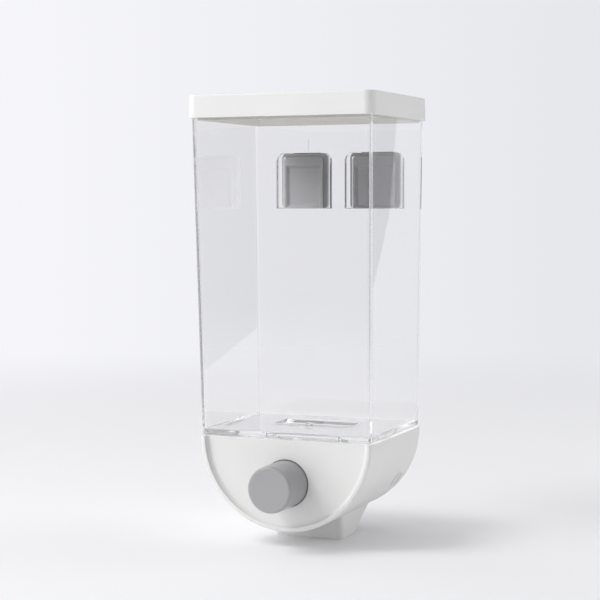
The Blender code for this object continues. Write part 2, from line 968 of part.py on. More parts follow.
def tab_clearance(side):
    # Gap in the deck's edge through which the tank's tab passes.
    inner = tank_bottom_width / 2 - tab_inset - tab_thickness - slide_gap
    outer = base_inner_radius + overrun
    left, right = sorted((side * inner, side * outer))
    front = tab_centre - tab_width / 2 - slide_gap
    back = tab_centre + tab_width / 2 + slide_gap
    return bar("clearance", left, right, front, back, deck_bottom - overrun, deck_top + overrun)


def tank_gasket():
    inner = gasket_bounds(0)
    outer = gasket_bounds(-gasket_width)
    low = deck_top - gasket_height + fit_gap
    piece = ring_block("tank_gasket", inner, outer, low, -fit_gap)
    return keep(piece, soft_seal(), (0, 0, deck_top))


def throat_seal():
    low = flange_bottom
    piece = ring_block("throat_seal", throat_seal_bounds(0), throat_seal_bounds(throat_seal_width), low,
                       low + throat_seal_height)
    return keep(piece, soft_seal(), (0, throat_front, flange_bottom))


# Shutter, tray and chute


def gate_plate():
    bounds = (-gate_half_width, gate_half_width, gate_front, throat_back + gate_overlap)
    plate = outline(*bounds, throat_corner)
    piece = solid("gate_plate", [level(plate, gate_bottom), level(plate, gate_top)])
    aperture = (-throat_half_width, throat_half_width, throat_front - gate_travel, throat_back - gate_travel)
    view = outline(*aperture, gate_aperture_corner)
    cut(piece, solid("aperture", [level(view, gate_bottom - overrun), level(view, gate_top + overrun)]))
    for side in (-1, 1):
        hole = rod("hole", screw_hole_radius, gate_bottom - overrun, gate_top + overrun)
        hole.location = (side * gate_screw_half_width, gate_screw_place, 0)
        cut(piece, hole)
    return keep(piece, inner_plastic(), (0, 0, button_axis))


def tray_screw_places():
    half_width = throat_half_width + tray_screw_side_margin
    places = []
    for y in (throat_front - tray_screw_front_margin, throat_back + tray_screw_back_margin):
        for side in (-1, 1):
            places.append((side * half_width, y))
    return places


def gate_tray():
    plate = outline(-flange_half_width, flange_half_width, tray_front, tray_back, throat_corner)
    piece = solid("gate_tray", [level(plate, tray_bottom), level(plate, tray_top)])
    rail_inner = gate_half_width + slide_gap
    rail_top = flange_bottom - fit_gap
    for side in (-1, 1):
        left, right = sorted((side * rail_inner, side * flange_half_width))
        middle = (tray_bottom + tray_top) / 2
        rail = outline(left, right, tray_front, tray_back, fit_gap, 1)
        join(piece, solid("rail", [level(rail, middle), level(rail, rail_top)]))
    view = outline(*grown(throat_bounds(), tray_aperture_margin), throat_corner)
    cut(piece, solid("aperture", [level(view, tray_bottom - overrun), level(view, tray_top + overrun)]))
    for x, y in tray_screw_places():
        hole = rod("hole", screw_hole_radius, tray_bottom - overrun, rail_top + overrun)
        hole.location = (x, y, 0)
        cut(piece, hole)
    return keep(piece, inner_plastic(), (0, 0, tray_top))


def outlet_chute():
    # Duct that leans forwards from the tray to the spout's foot.
    top = grown(throat_bounds(), 2 * tray_aperture_margin)
    foot_level = spout_foot + chute_foot_lift
    foot_back = chute_foot_front + chute_foot_length
    foot = (-chute_foot_half_width, chute_foot_half_width, chute_foot_front, foot_back)
    flange = (-flange_half_width, flange_half_width, flange_front, flange_back)
    layers = (
        (top, throat_corner, chute_top),
        (foot, throat_corner, foot_level),
        (grown(foot, chute_wall), throat_corner + chute_wall, foot_level),
        (grown(top, chute_wall), throat_corner + chute_wall, chute_flange_bottom),
        (flange, deck_corner, chute_flange_bottom),
        (flange, deck_corner, chute_top),
    )
    rings = [level(outline(*bounds, corner), height) for bounds, corner, height in layers]
    piece = solid("outlet_chute", rings, closed=True)
    for x, y in tray_screw_places():
        hole = rod("hole", screw_hole_radius, chute_flange_bottom - overrun, chute_top + overrun)
        hole.location = (x, y, 0)
        cut(piece, hole)
    return keep(piece, inner_plastic(), (0, 0, chute_top))


# Push button


def button_cap():
    boss_end = plunger_front - button_boss_gap
    tip = boss_end - (button_screw_length - plunger_thickness) + button_boss_gap - overrun
    inside = button_face + button_wall
    inner_radius = button_radius - button_wall
    profile = [(0, button_face + button_dish)]
    profile += fillet(button_radius - button_fillet, button_face + button_fillet, button_fillet, 270, 360)
    profile += [
        (button_radius, plunger_front - fit_gap),
        (inner_radius, plunger_front - fit_gap),
        (inner_radius, inside),
        (button_boss_radius, inside),
        (button_boss_radius, boss_end),
        (screw_hole_radius, boss_end),
        (screw_hole_radius, tip),
        (0, tip),
    ]
    piece = along_y(turned("button_cap", profile, button_steps), z=button_axis)
    return keep(piece, grey_plastic(), (0, 0, button_axis), 40)


def button_plunger():
    cup_inner = spring_radius + spring_wire / 2 + slide_gap
    cup_outer = cup_inner + plunger_cup_wall
    neck_front = plunger_front - button_boss_gap + fit_gap
    profile = [
        (screw_hole_radius, plunger_back),
        (screw_hole_radius, neck_front),
        (plunger_neck_radius, neck_front),
        (plunger_neck_radius, plunger_front),
        (plunger_radius, plunger_front),
        (plunger_radius, plunger_back),
        (cup_outer, plunger_back),
        (cup_outer, plunger_back + plunger_cup_length),
        (cup_inner, plunger_back + plunger_cup_length),
        (cup_inner, plunger_back),
    ]
    piece = along_y(turned("button_plunger", profile, button_steps // 2), z=button_axis)
    foot_low = gate_top + fit_gap
    foot_front = (plunger_front + plunger_back) / 2
    foot = bar("foot", -plunger_foot_half_width, plunger_foot_half_width, foot_front,
               plunger_back + plunger_foot_length, foot_low, foot_low + plunger_foot_thickness)
    join(piece, foot)
    for side in (-1, 1):
        low = foot_low - overrun
        hole = rod("hole", screw_hole_radius, low, foot_low + plunger_foot_thickness + overrun)
        hole.location = (side * gate_screw_half_width, gate_screw_place, 0)
        cut(piece, hole)
    return keep(piece, inner_plastic(), (0, 0, button_axis))


def return_spring():
    # Open coil along Y; each ring of the tube stands across the wire.
    steps = spring_turns * spring_turn_steps
    run = spring_length - spring_wire
    start = spring_front + spring_wire / 2
    slope = math.atan2(run / spring_turns, 2 * math.pi * spring_radius)
    rings = []
    for step in range(steps + 1):
        angle = 2 * math.pi * step / spring_turn_steps
        radial = Vector((math.cos(angle), 0, math.sin(angle)))
        around = Vector((-math.sin(angle), 0, math.cos(angle)))
        tangent = around * math.cos(slope) + Vector((0, math.sin(slope), 0))
        across = radial.cross(tangent)
        centre = radial * spring_radius + Vector((0, start + run * step / steps, 0))
        ring = []
        for side in range(spring_sides):
            turn = 2 * math.pi * side / spring_sides
            ring.append(centre + (radial * math.cos(turn) + across * math.sin(turn)) * spring_wire / 2)
        rings.append(ring)
    piece = solid("return_spring", rings)
    piece.location = (0, 0, button_axis)
    return keep(piece, spring_steel(), (0, post_face, button_axis), 80)


# Screws


def screw_mesh(name, length):
    # Head above zero, shank below, with a cross cut into the head.
    profile = [
        (0, -length),
        (screw_shank_radius - screw_tip / 2, -length),
        (screw_shank_radius, -length + screw_tip),
        (screw_shank_radius, 0),
        (screw_head_radius, 0),
        (screw_head_radius, screw_head_height / 2),
        (screw_head_radius * 3 / 4, screw_head_height),
        (0, screw_head_height),
    ]
    piece = turned(name, profile, screw_steps)
    low = screw_head_height - screw_slot_depth
    high = screw_head_height + overrun
    long_half = screw_slot_length / 2
    short_half = screw_slot_width / 2
    cut(piece, bar("slot", -long_half, long_half, -short_half, short_half, low, high))
    cut(piece, bar("slot", -short_half, short_half, -long_half, long_half, low, high))
    mesh = piece.data
    bpy.data.objects.remove(piece)
    mesh.materials.clear()
    mesh.materials.append(screw_steel())
    mesh.shade_smooth()
    mesh.set_sharp_from_angle(angle=math.radians(35))
    return mesh


def screws(names, mesh, places, rotation=(0, 0, 0)):
    made = []
    for name, place in zip(names, places):
        piece = bpy.data.objects.new(name, mesh)
        bpy.context.scene.collection.objects.link(piece)
        piece.location = place
        piece.rotation_euler = rotation
        made.append(piece)
    return made


def numbered(stem, count):
    return [f"{stem}_{number + 1}" for number in range(count)]


def all_screws():
    made = []
    head_seat = deck_top - counterbore_depth + fit_gap / 2
    places = [(x, y, head_seat) for x, y in deck_post_places()]
    mesh = screw_mesh("deck_screw", deck_screw_length)
    made += screws(numbered("deck_screw", len(places)), mesh, places)
    upside_down = (math.pi, 0, 0)
    places = [(x, y, chute_flange_bottom - fit_gap) for x, y in tray_screw_places()]
    mesh = screw_mesh("tray_screw", tray_screw_length)
    made += screws(numbered("tray_screw", len(places)), mesh, places, upside_down)
    backwards = (-math.pi / 2, 0, 0)
    head_seat = base_back - fit_gap - counterbore_depth + fit_gap / 2
    places = [(x, head_seat, z) for x, z in cover_post_places()]
    mesh = screw_mesh("cover_screw", cover_screw_length)
    made += screws(numbered("cover_screw", len(places)), mesh, places, backwards)
    places = [(0, plunger_back + fit_gap, button_axis)]
    mesh = screw_mesh("button_screw", button_screw_length)
    made += screws(["button_screw"], mesh, places, backwards)
    head_seat = gate_top + 2 * fit_gap + plunger_foot_thickness
    places = [(side * gate_screw_half_width, gate_screw_place, head_seat) for side in (-1, 1)]
    mesh = screw_mesh("gate_screw", gate_screw_length)
    made += screws(["gate_screw_left", "gate_screw_right"], mesh, places)
    return made


# Assembly


def build():
    clear_scene()
    pieces = [
        lid_shell(),
        lid_plug(),
        lid_seal(),
        tank(),
        tank_gasket(),
        hook("hook_left", -1),
        hook("hook_right", 1),
        pad("pad_left", -1),
        pad("pad_right", 1),
        base_shell(),
        back_cover(),
        hopper(),
        throat_seal(),
        gate_plate(),
        gate_tray(),
        outlet_chute(),
        button_cap(),
        button_plunger(),
        return_spring(),
    ]
    pieces += all_screws()
    assembly = bpy.data.objects.new("assembly", None)
    bpy.context.scene.collection.objects.link(assembly)
    assembly.location = (0, plan_shift, -spout_foot)
    for piece in pieces:
        piece.parent = assembly
    bpy.context.view_layer.update()


build()
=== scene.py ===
import math

import bmesh
import bpy
from mathutils import Matrix, Vector


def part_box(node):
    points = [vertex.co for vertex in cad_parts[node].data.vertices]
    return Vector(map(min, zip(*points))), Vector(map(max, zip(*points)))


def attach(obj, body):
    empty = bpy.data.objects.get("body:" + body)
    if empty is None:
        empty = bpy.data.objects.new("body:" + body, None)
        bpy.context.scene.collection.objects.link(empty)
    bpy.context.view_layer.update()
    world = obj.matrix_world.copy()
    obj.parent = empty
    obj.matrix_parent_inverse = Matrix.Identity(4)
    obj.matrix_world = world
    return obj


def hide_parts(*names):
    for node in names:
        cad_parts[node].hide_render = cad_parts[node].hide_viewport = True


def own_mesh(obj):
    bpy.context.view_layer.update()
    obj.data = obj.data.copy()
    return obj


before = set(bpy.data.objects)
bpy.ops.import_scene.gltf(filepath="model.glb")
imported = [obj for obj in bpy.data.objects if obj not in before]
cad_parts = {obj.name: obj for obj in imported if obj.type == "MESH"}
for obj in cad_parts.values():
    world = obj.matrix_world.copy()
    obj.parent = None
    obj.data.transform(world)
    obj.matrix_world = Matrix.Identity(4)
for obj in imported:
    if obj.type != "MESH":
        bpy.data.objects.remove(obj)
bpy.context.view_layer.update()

# Cereal dispenser for the kitchen wall: clear tank, white lid and base, grey button and hooks.
# Metres. X to the right, Y towards the wall, Z up; the spout's foot stands at height zero.

lidLow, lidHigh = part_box("lid_shell")
tankLow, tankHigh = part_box("tank")
baseLow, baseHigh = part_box("base_shell")
capLow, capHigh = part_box("button_cap")
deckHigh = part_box("hopper")[1]
gap = 0.0003                       # between pieces that touch
weld = gap / 300                   # points nearer than this become one
sharpTurn = math.radians(32)       # edges that turn by more are sharp or get rounded
flatTurn = math.radians(1)         # faces that turn by less are one face
deckFoot = deckHigh.z - 0.0026     # underside of the hopper's deck
seam = baseHigh.z + gap            # where the tank meets the base
skirtFoot = lidLow.z               # lower edge of the lid's skirt
wallSide = baseHigh.y              # plane of the tank's and the base's backs
buttonAxis = (capLow.z + capHigh.z) / 2


# Points and solids

def arc(centreX, centreY, radius, start, end, steps):
    points = []
    for step in range(steps + 1):
        angle = math.radians(start + (end - start) * step / steps)
        points.append((centreX + radius * math.cos(angle), centreY + radius * math.sin(angle)))
    return points


def roundedRectangle(left, right, front, back, corner, steps, backCorner=None):
    near = max(min(corner, (right - left) / 2, (back - front) / 2), gap / 10)
    far = near if backCorner is None else backCorner
    points = arc(right - near, front + near, near, -90, 0, steps)
    points += arc(right - far, back - far, far, 0, 90, steps)
    points += arc(left + far, back - far, far, 90, 180, steps)
    return points + arc(left + near, front + near, near, 180, 270, steps)


def grown(bounds, margin):
    left, right, front, back = bounds
    return (left - margin, right + margin, front - margin, back + margin)


def level(points, height):
    return [Vector((x, y, height)) for x, y in points]


def upright(points, depth):
    return [Vector((x, depth, z)) for x, z in points]


def quarter(size, steps, outward=True):
    # Pairs of inset and rise along a quarter round, from a flat side up to a flat top
    pairs = []
    for step in range(steps + 1):
        angle = math.radians(90 * step / steps)
        climb, lean = math.sin(angle), 1 - math.cos(angle)
        pairs.append((size * lean, size * climb) if outward else (size * (1 - climb), size * lean))
    return pairs


def inScene(name, data):
    item = bpy.data.objects.new(name, data)
    bpy.context.scene.collection.objects.link(item)
    return item


def bmeshOf(mesh):
    shape = bmesh.new()
    shape.from_mesh(mesh)
    return shape


def cleaned(shape):
    bmesh.ops.remove_doubles(shape, verts=shape.verts, dist=weld)
    bmesh.ops.dissolve_degenerate(shape, edges=shape.edges, dist=weld)


def objectFrom(name, shape):
    cleaned(shape)
    bmesh.ops.recalc_face_normals(shape, faces=shape.faces)
    mesh = bpy.data.meshes.new(name)
    shape.to_mesh(mesh)
    shape.free()
    return inScene(name, mesh)


def skinned(name, rings, wrapped, skipped=()):
    # Skin over rings of equal length; the end rings are capped, or joined when wrapped
    shape = bmesh.new()
    rows = [[shape.verts.new(point) for point in ring] for ring in rings]
    pairs = list(zip(rows, rows[1:]))
    if wrapped:
        pairs.append((rows[-1], rows[0]))
    for one, other in pairs:
        for index in range(len(one)):
            after = (index + 1) % len(one)
            if index not in skipped:
                shape.faces.new((one[index], one[after], other[after], other[index]))
    if not wrapped:
        shape.faces.new(rows[0])
        shape.faces.new(rows[-1])
    return objectFrom(name, shape)


def loft(name, rings):
    return skinned(name, rings, False)


def lathe(name, profile, steps, half=False):
    # Turns (radius, depth) about a line along Y; half a turn hangs below the line
    sweep, phase = (math.pi, 0) if half else (2 * math.pi, 0.5)
    rings = []
    for step in range(steps + 1 if half else steps):
        angle = math.pi + sweep * (step + phase) / steps
        rings.append([(radius * math.cos(angle), depth, radius * math.sin(angle)) for radius, depth in profile])
    radii = [radius for radius, depth in profile]
    onAxis = [index for index, radius in enumerate(radii) if radius == 0 and radii[(index + 1) % len(radii)] == 0]
    return skinned(name, rings, not half, onAxis)


def moved(piece, place):
    piece.data.transform(Matrix.Translation(Vector(place)))
    return piece


def stood(piece, place):
    # Turns a lathed piece from lying along Y to standing along Z, then moves it
    piece.data.transform(Matrix.Rotation(math.radians(90), 4, "X"))
    return moved(piece, place)


def applied(piece, step):
    # Keeps what a piece's only modifier makes as its plain mesh
    bpy.context.view_layer.update()
    graph = bpy.context.evaluated_depsgraph_get()
    mesh = bpy.data.meshes.new_from_object(piece.evaluated_get(graph), preserve_all_data_layers=True,
                                           depsgraph=graph)
    old = piece.data
    piece.modifiers.remove(step)
    piece.data = mesh
    bpy.data.meshes.remove(old)
    return piece


def modified(piece, kind, **settings):
    step = piece.modifiers.new("step", kind)
    for key, value in settings.items():
        setattr(step, key, value)
    return applied(piece, step)


def shaped(body, tool, operation="DIFFERENCE"):
    # Boolean of two closed solids, applied at once; the tool is used up
    modified(body, "BOOLEAN", object=tool, operation=operation, solver="EXACT")
    shape = bmeshOf(body.data)
    cleaned(shape)
    shape.to_mesh(body.data)
    shape.free()
    bpy.data.objects.remove(tool)
    return body


def rounded(piece, width, segments):
    return modified(piece, "BEVEL", width=width, segments=segments, limit_method="ANGLE", angle_limit=sharpTurn,
                    use_clamp_overlap=True, miter_outer="MITER_ARC")


def dressed(piece, finish, body, nodes):
    # Smooth shading with even normals on the flat faces, then the piece rides on its body and the imported pieces
    # it replaces are hidden
    mesh = piece.data
    mesh.materials.clear()
    mesh.materials.append(finish)
    mesh.shade_smooth()
    mesh.set_sharp_from_angle(angle=sharpTurn)
    modified(piece, "WEIGHTED_NORMAL", keep_sharp=True, weight=90)
    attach(piece, body)
    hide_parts(*nodes)
    return piece


def refined(name, nodeName, width, steps):
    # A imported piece's own shape, joined up, with its flat faces whole again and its edges rounded
    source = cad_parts[nodeName]
    shape = bmeshOf(source.data)
    shape.transform(source.matrix_world)
    bmesh.ops.remove_doubles(shape, verts=shape.verts, dist=gap / 100)
    bmesh.ops.dissolve_limit(shape, angle_limit=flatTurn, verts=shape.verts, edges=shape.edges)
    return rounded(objectFrom(name, shape), width, steps)


# Node helpers

def fed(tree, socket, value):
    # A socket takes another socket's link, a plain value, or a colour as three numbers
    if isinstance(value, bpy.types.NodeSocket):
        tree.links.new(value, socket)
    elif socket.type == "RGBA":
        socket.default_value = (*value, 1)
    else:
        socket.default_value = value


def feed(tree, item, **values):
    for key, value in values.items():
        fed(tree, item.inputs[key.replace("_", " ")], value)


def addNode(tree, kind, settings=None, **values):
    # Settings may be the node's own properties too; among values _ stands for a space
    item = tree.nodes.new(kind)
    for key, value in (settings or {}).items():
        if key in item.inputs:
            fed(tree, item.inputs[key], value)
        else:
            setattr(item, key, value)
    feed(tree, item, **values)
    return item


def addSocket(tree, name, value, side="INPUT"):
    # No value stands for a vector, three numbers for a colour
    kinds = {type(None): "Vector", tuple: "Color", float: "Float", int: "Int"}
    socket = tree.interface.new_socket(name, in_out=side, socket_type="NodeSocket" + kinds[type(value)])
    if value is not None and side == "INPUT":
        socket.default_value = (*value, 1) if isinstance(value, tuple) else value


def newGroup(name, inputs, outputs):
    group = bpy.data.node_groups.new(name, "ShaderNodeTree")
    for socketName, value in inputs.items():
        addSocket(group, socketName, value)
    for socketName in outputs:
        addSocket(group, socketName, (0, 0, 0) if socketName == "Color" else 0.0, "OUTPUT")
    return group, group.nodes.new("NodeGroupInput").outputs, group.nodes.new("NodeGroupOutput")


def placed(tree, group, settings, **values):
    return addNode(tree, "ShaderNodeGroup", {"node_tree": group, **settings}, **values).outputs


def arithmetic(tree, operation, first, second, clamp=False):
    item = addNode(tree, "ShaderNodeMath", {"operation": operation, "use_clamp": clamp})
    fed(tree, item.inputs[0], first)
    fed(tree, item.inputs[1], second)
    return item.outputs[0]


def product(tree, first, *others):
    for other in others:
        first = arithmetic(tree, "MULTIPLY", first, other)
    return first


def vectorMath(tree, operation, first, second=None):
    item = addNode(tree, "ShaderNodeVectorMath", {"operation": operation})
    fed(tree, item.inputs[0], first)
    if second is not None:
        fed(tree, item.inputs[1], second)
    return item.outputs["Value" if operation in ("DOT_PRODUCT", "LENGTH") else "Vector"]


def ranged(tree, value, fromLow, fromHigh, toLow=0.0, toHigh=1.0, curve="SMOOTHSTEP"):
    item = addNode(tree, "ShaderNodeMapRange", {"interpolation_type": curve}, Value=value, From_Min=fromLow,
                   From_Max=fromHigh, To_Min=toLow, To_Max=toHigh)
    return item.outputs["Result"]


def blended(tree, factor, first, second, mode="MIX"):
    item = addNode(tree, "ShaderNodeMix", {"data_type": "RGBA", "blend_type": mode})
    for index, value in ((0, factor), (6, first), (7, second)):
        fed(tree, item.inputs[index], value)
    return item.outputs[2]


def noise(tree, vector, scale, detail, roughness=0.5, distortion=0.0):
    item = addNode(tree, "ShaderNodeTexNoise", Vector=vector, Scale=scale, Detail=detail, Roughness=roughness,
                   Distortion=distortion)
    return item.outputs["Fac"]


def bumped(tree, height, look):
    item = addNode(tree, "ShaderNodeBump", Strength=look["bump"], Distance=look["bumpDepth"], Height=height)
    return item.outputs["Normal"]


# Effects that several finishes share

noiseSpread = (0.3, 0.7)           # the stretch in which nearly all noise values lie
edgeWearAndSheen = {"samples": 4, "turn": (0.995, 0.86), "patchScale": 260.0, "patches": (0.35, 0.65), "least": 0.35}
smears = {"patches": (0.42, 0.72), "distortion": 0.6, "drawn": (1.0, 1.0, 0.12), "least": 0.55}
dustFall = {"slope": (0.6, 1.0), "speckScale": 1500.0, "specks": (0.45, 0.75), "least": 0.2}


def mouldSkinGroup():
    # Skin of a moulding: fine spark-eroded grain and slow waves, as height and as two masks
    group, given, made = newGroup("mouldSkin", {"Vector": None, "Grain Scale": 2600.0, "Wave Scale": 45.0,
                                                "Wave Share": 0.35}, ("Height", "Grain", "Cloud"))
    fine = noise(group, given["Vector"], given["Grain Scale"], detail=3.0, roughness=0.6)
    wide = noise(group, given["Vector"], given["Wave Scale"], detail=2.0, roughness=0.45)
    wave = product(group, wide, given["Wave Share"])
    grain = product(group, fine, arithmetic(group, "SUBTRACT", 1.0, given["Wave Share"]))
    feed(group, made, Height=arithmetic(group, "ADD", wave, grain), Grain=ranged(group, fine, *noiseSpread),
         Cloud=ranged(group, wide, *noiseSpread))
    return group


def edgeToneGroup():
    # Handled edges, lifted partly by wear and partly as a painted highlight: a mask along corners tighter than
    # Radius, and the colour with its edges lifted
    group, given, made = newGroup("edgeTone", {"Vector": None, "Color": (0.8, 0.8, 0.8), "Edge Color": (1, 1, 1),
                                               "Radius": 0.0006, "Amount": 0.5}, ("Color", "Edge"))
    soft = addNode(group, "ShaderNodeBevel", {"samples": edgeWearAndSheen["samples"]}, Radius=given["Radius"])
    facing = addNode(group, "ShaderNodeNewGeometry")
    match = vectorMath(group, "DOT_PRODUCT", soft.outputs["Normal"], facing.outputs["Normal"])
    patchy = noise(group, given["Vector"], edgeWearAndSheen["patchScale"], detail=3.0)
    broken = ranged(group, patchy, *edgeWearAndSheen["patches"], edgeWearAndSheen["least"], 1.0)
    wearAndSheen = product(group, ranged(group, match, *edgeWearAndSheen["turn"]), broken, given["Amount"])
    feed(group, made, Color=blended(group, wearAndSheen, given["Color"], given["Edge Color"]), Edge=wearAndSheen)
    return group


def handledGroup():
    # Faint smears of handling: raises the roughness in soft patches with fine streaks
    group, given, made = newGroup("handled", {"Vector": None, "Clean": 0.35, "Smeared": 0.45, "Patch Scale": 30.0,
                                              "Streak Scale": 700.0}, ("Roughness", "Smear"))
    patch = noise(group, given["Vector"], given["Patch Scale"], detail=4.0, roughness=0.55,
                  distortion=smears["distortion"])
    drawn = addNode(group, "ShaderNodeMapping", {"Scale": smears["drawn"]}, Vector=given["Vector"])
    streak = noise(group, drawn.outputs["Vector"], given["Streak Scale"], detail=2.0)
    streaks = ranged(group, streak, *noiseSpread, smears["least"], 1.0)
    smear = product(group, ranged(group, patch, *smears["patches"]), streaks)
    spread = arithmetic(group, "SUBTRACT", given["Smeared"], given["Clean"])
    rough = arithmetic(group, "ADD", product(group, smear, spread), given["Clean"], clamp=True)
    feed(group, made, Roughness=rough, Smear=smear)
    return group


def settledDustGroup():
    # A breath of dust on what faces up
    group, given, made = newGroup("settledDust", {"Vector": None, "Color": (0.8, 0.8, 0.8), "Amount": 0.1,
                                                  "Dust Color": (0.6, 0.58, 0.55)}, ("Color", "Dust"))
    facing = addNode(group, "ShaderNodeNewGeometry").outputs["Normal"]
    height = addNode(group, "ShaderNodeSeparateXYZ", Vector=facing).outputs["Z"]
    speck = noise(group, given["Vector"], dustFall["speckScale"], detail=4.0, roughness=0.7)
    specks = ranged(group, speck, *dustFall["specks"], dustFall["least"], 1.0)
    dust = product(group, ranged(group, height, *dustFall["slope"]), specks, given["Amount"])
    feed(group, made, Color=blended(group, dust, given["Color"], given["Dust Color"]), Dust=dust)
    return group


mouldSkin = mouldSkinGroup()
edgeTone = edgeToneGroup()
handled = handledGroup()
settledDust = settledDustGroup()


def skinOn(tree, place, look):
    return placed(tree, mouldSkin, {"Grain Scale": look["grainScale"], "Wave Scale": look["waveScale"],
                                    "Wave Share": look["waveShare"]}, Vector=place)


def edgesOn(tree, place, look, tint):
    return placed(tree, edgeTone, {"Edge Color": look["edgeColour"], "Radius": look["edgeRadius"],
                                   "Amount": look["edgeAmount"]}, Vector=place, Color=tint)


def touchOn(tree, place, look):
    return placed(tree, handled, {"Clean": look["roughness"], "Smeared": look["smeared"],
                                  "Patch Scale": look["patchScale"], "Streak Scale": look["streakScale"]},
                  Vector=place)


# Finishes

def newFinish(name):
    # The material, its nodes, its shader, and the place on the piece that every pattern reads
    finish = bpy.data.materials.new(name)
    finish.use_nodes = True
    tree = finish.node_tree
    return finish, tree, tree.nodes["Principled BSDF"], addNode(tree, "ShaderNodeTexCoord").outputs["Object"]


def mixedSurface(tree, factor, first, second):
    both = addNode(tree, "ShaderNodeMixShader", Fac=factor)
    tree.links.new(first.outputs[0], both.inputs[1])
    tree.links.new(second.outputs[0], both.inputs[2])
    tree.links.new(both.outputs[0], tree.nodes["Material Output"].inputs["Surface"])


def plasticFinish(name, look):
    # Moulded plastic: colour with slow clouding, edges lifted partly as wear and partly as a painted highlight,
    # dust, grain and handling, and on some a painted glow
    finish, tree, shader, place = newFinish(name)
    skin = skinOn(tree, place, look)
    edge = edgesOn(tree, place, look, blended(tree, skin["Cloud"], look["colour"], look["cloudColour"]))
    tint = placed(tree, settledDust, {"Amount": look["dust"]}, Vector=place, Color=edge["Color"])["Color"]
    touch = touchOn(tree, place, look)
    shine = product(tree, edge["Edge"], -look["edgePolish"])
    rough = arithmetic(tree, "ADD", touch["Roughness"], shine, clamp=True)
    feed(tree, shader, Base_Color=tint, Roughness=rough, Normal=bumped(tree, skin["Height"], look),
         IOR=look["ior"])
    if look["paintedGlow"]:
        # Painted light: emission that stands for light coming through thin pale plastic into shade; with inward
        # 1, only on faces that look in
        facing = addNode(tree, "ShaderNodeNewGeometry").outputs["True Normal"]
        outwards = vectorMath(tree, "DOT_PRODUCT", vectorMath(tree, "MULTIPLY", place, (1, 1, 0)), facing)
        inside = arithmetic(tree, "LESS_THAN", outwards, -look["inwardFrom"])
        share = arithmetic(tree, "MAXIMUM", inside, 1.0 - look["inward"])
        feed(tree, shader, Emission_Color=tint, Emission_Strength=product(tree, share, look["paintedGlow"]))
    return finish


def clearFinish(name, look):
    # Clear plastic: plain transmission, faint handling and moulding waves. Shadow rays pass straight through,
    # and so do rays that have bounced about inside the walls for long
    finish, tree, shader, place = newFinish(name)
    feed(tree, shader, Base_Color=look["tint"], Metallic=0.0, Transmission_Weight=1.0, IOR=look["ior"],
         Roughness=touchOn(tree, place, look)["Roughness"],
         Normal=bumped(tree, skinOn(tree, place, look)["Height"], look))
    through = addNode(tree, "ShaderNodeBsdfTransparent", Color=look["shadowTint"])
    path = addNode(tree, "ShaderNodeLightPath").outputs
    deep = arithmetic(tree, "GREATER_THAN", path["Ray Depth"], look["deepest"])
    mixedSurface(tree, arithmetic(tree, "MAXIMUM", path["Is Shadow Ray"], deep), shader, through)
    return finish


def rubberFinish(name, look):
    finish, tree, shader, place = newFinish(name)
    skin = skinOn(tree, place, look)
    rough = ranged(tree, skin["Grain"], 0.0, 1.0, look["roughness"], look["grainRoughness"])
    feed(tree, shader, Base_Color=blended(tree, skin["Cloud"], look["colour"], look["cloudColour"]),
         Roughness=rough, Normal=bumped(tree, skin["Height"], look))
    return finish


def foamFinish(name, look):
    # Adhesive foam: open cells over a soft white, painted darker in the grooves between the cells as painted
    # shade
    finish, tree, shader, place = newFinish(name)
    cells = addNode(tree, "ShaderNodeTexVoronoi", {"Scale": look["cellScale"], "feature": "DISTANCE_TO_EDGE"},
                    Vector=place)
    walls = ranged(tree, cells.outputs["Distance"], 0.0, look["cellEdge"])
    feed(tree, shader, Base_Color=blended(tree, walls, look["edgeColour"], look["colour"]),
         Roughness=ranged(tree, walls, 0.0, 1.0, look["edgeRoughness"], look["roughness"]),
         Normal=bumped(tree, walls, look))
    return finish


def steelFinish(name, look):
    # Drawn or turned steel: fine lines and a little tarnish
    finish, tree, shader, place = newFinish(name)
    touch = touchOn(tree, place, look)
    dark = tuple(look["tarnish"] * part for part in look["colour"])
    tint = edgesOn(tree, place, look, blended(tree, touch["Smear"], look["colour"], dark))["Color"]
    feed(tree, shader, Base_Color=tint, Metallic=1.0, Roughness=touch["Roughness"],
         Normal=bumped(tree, touch["Smear"], look))
    return finish


whiteLook = {"colour": (0.835, 0.835, 0.825), "cloudColour": (0.815, 0.815, 0.805),
             "edgeColour": (0.88, 0.88, 0.875), "edgeRadius": 0.0006, "edgeAmount": 0.5, "edgePolish": 0.08,
             "dust": 0.06, "grainScale": 2400.0, "waveScale": 28.0, "waveShare": 0.4, "roughness": 0.36,
             "smeared": 0.44, "patchScale": 26.0, "streakScale": 700.0, "bump": 0.12, "bumpDepth": 0.00004,
             "ior": 1.5, "paintedGlow": 0.0, "inward": 0.0, "inwardFrom": 0.01}
innerLook = dict(whiteLook, colour=(0.84, 0.835, 0.82), cloudColour=(0.825, 0.82, 0.805),
                 edgeColour=(0.87, 0.865, 0.855), roughness=0.45, smeared=0.52, dust=0.02)
# The glow on the next three is painted light: emission that lifts the hopper seen through the tank's floor, and
# the shaded underside of the lid and its inner ring
hopperLook = dict(innerLook, colour=(0.60, 0.60, 0.595), cloudColour=(0.585, 0.585, 0.58), paintedGlow=0.12)
lidPlasticLook = dict(whiteLook, paintedGlow=0.35, inward=1.0)
ringLook = dict(innerLook, colour=(0.80, 0.785, 0.755), cloudColour=(0.785, 0.77, 0.74), paintedGlow=0.16)
# The button's lighter rim (edgeColour, edgeAmount, edgeRadius) is a painted highlight along its rounded edge
greyLook = dict(whiteLook, colour=(0.40, 0.40, 0.41), cloudColour=(0.385, 0.385, 0.395),
                edgeColour=(0.64, 0.64, 0.66), edgeAmount=0.8, edgeRadius=0.0011, roughness=0.33,
                smeared=0.36, patchScale=60.0, bump=0.2, dust=0.05)
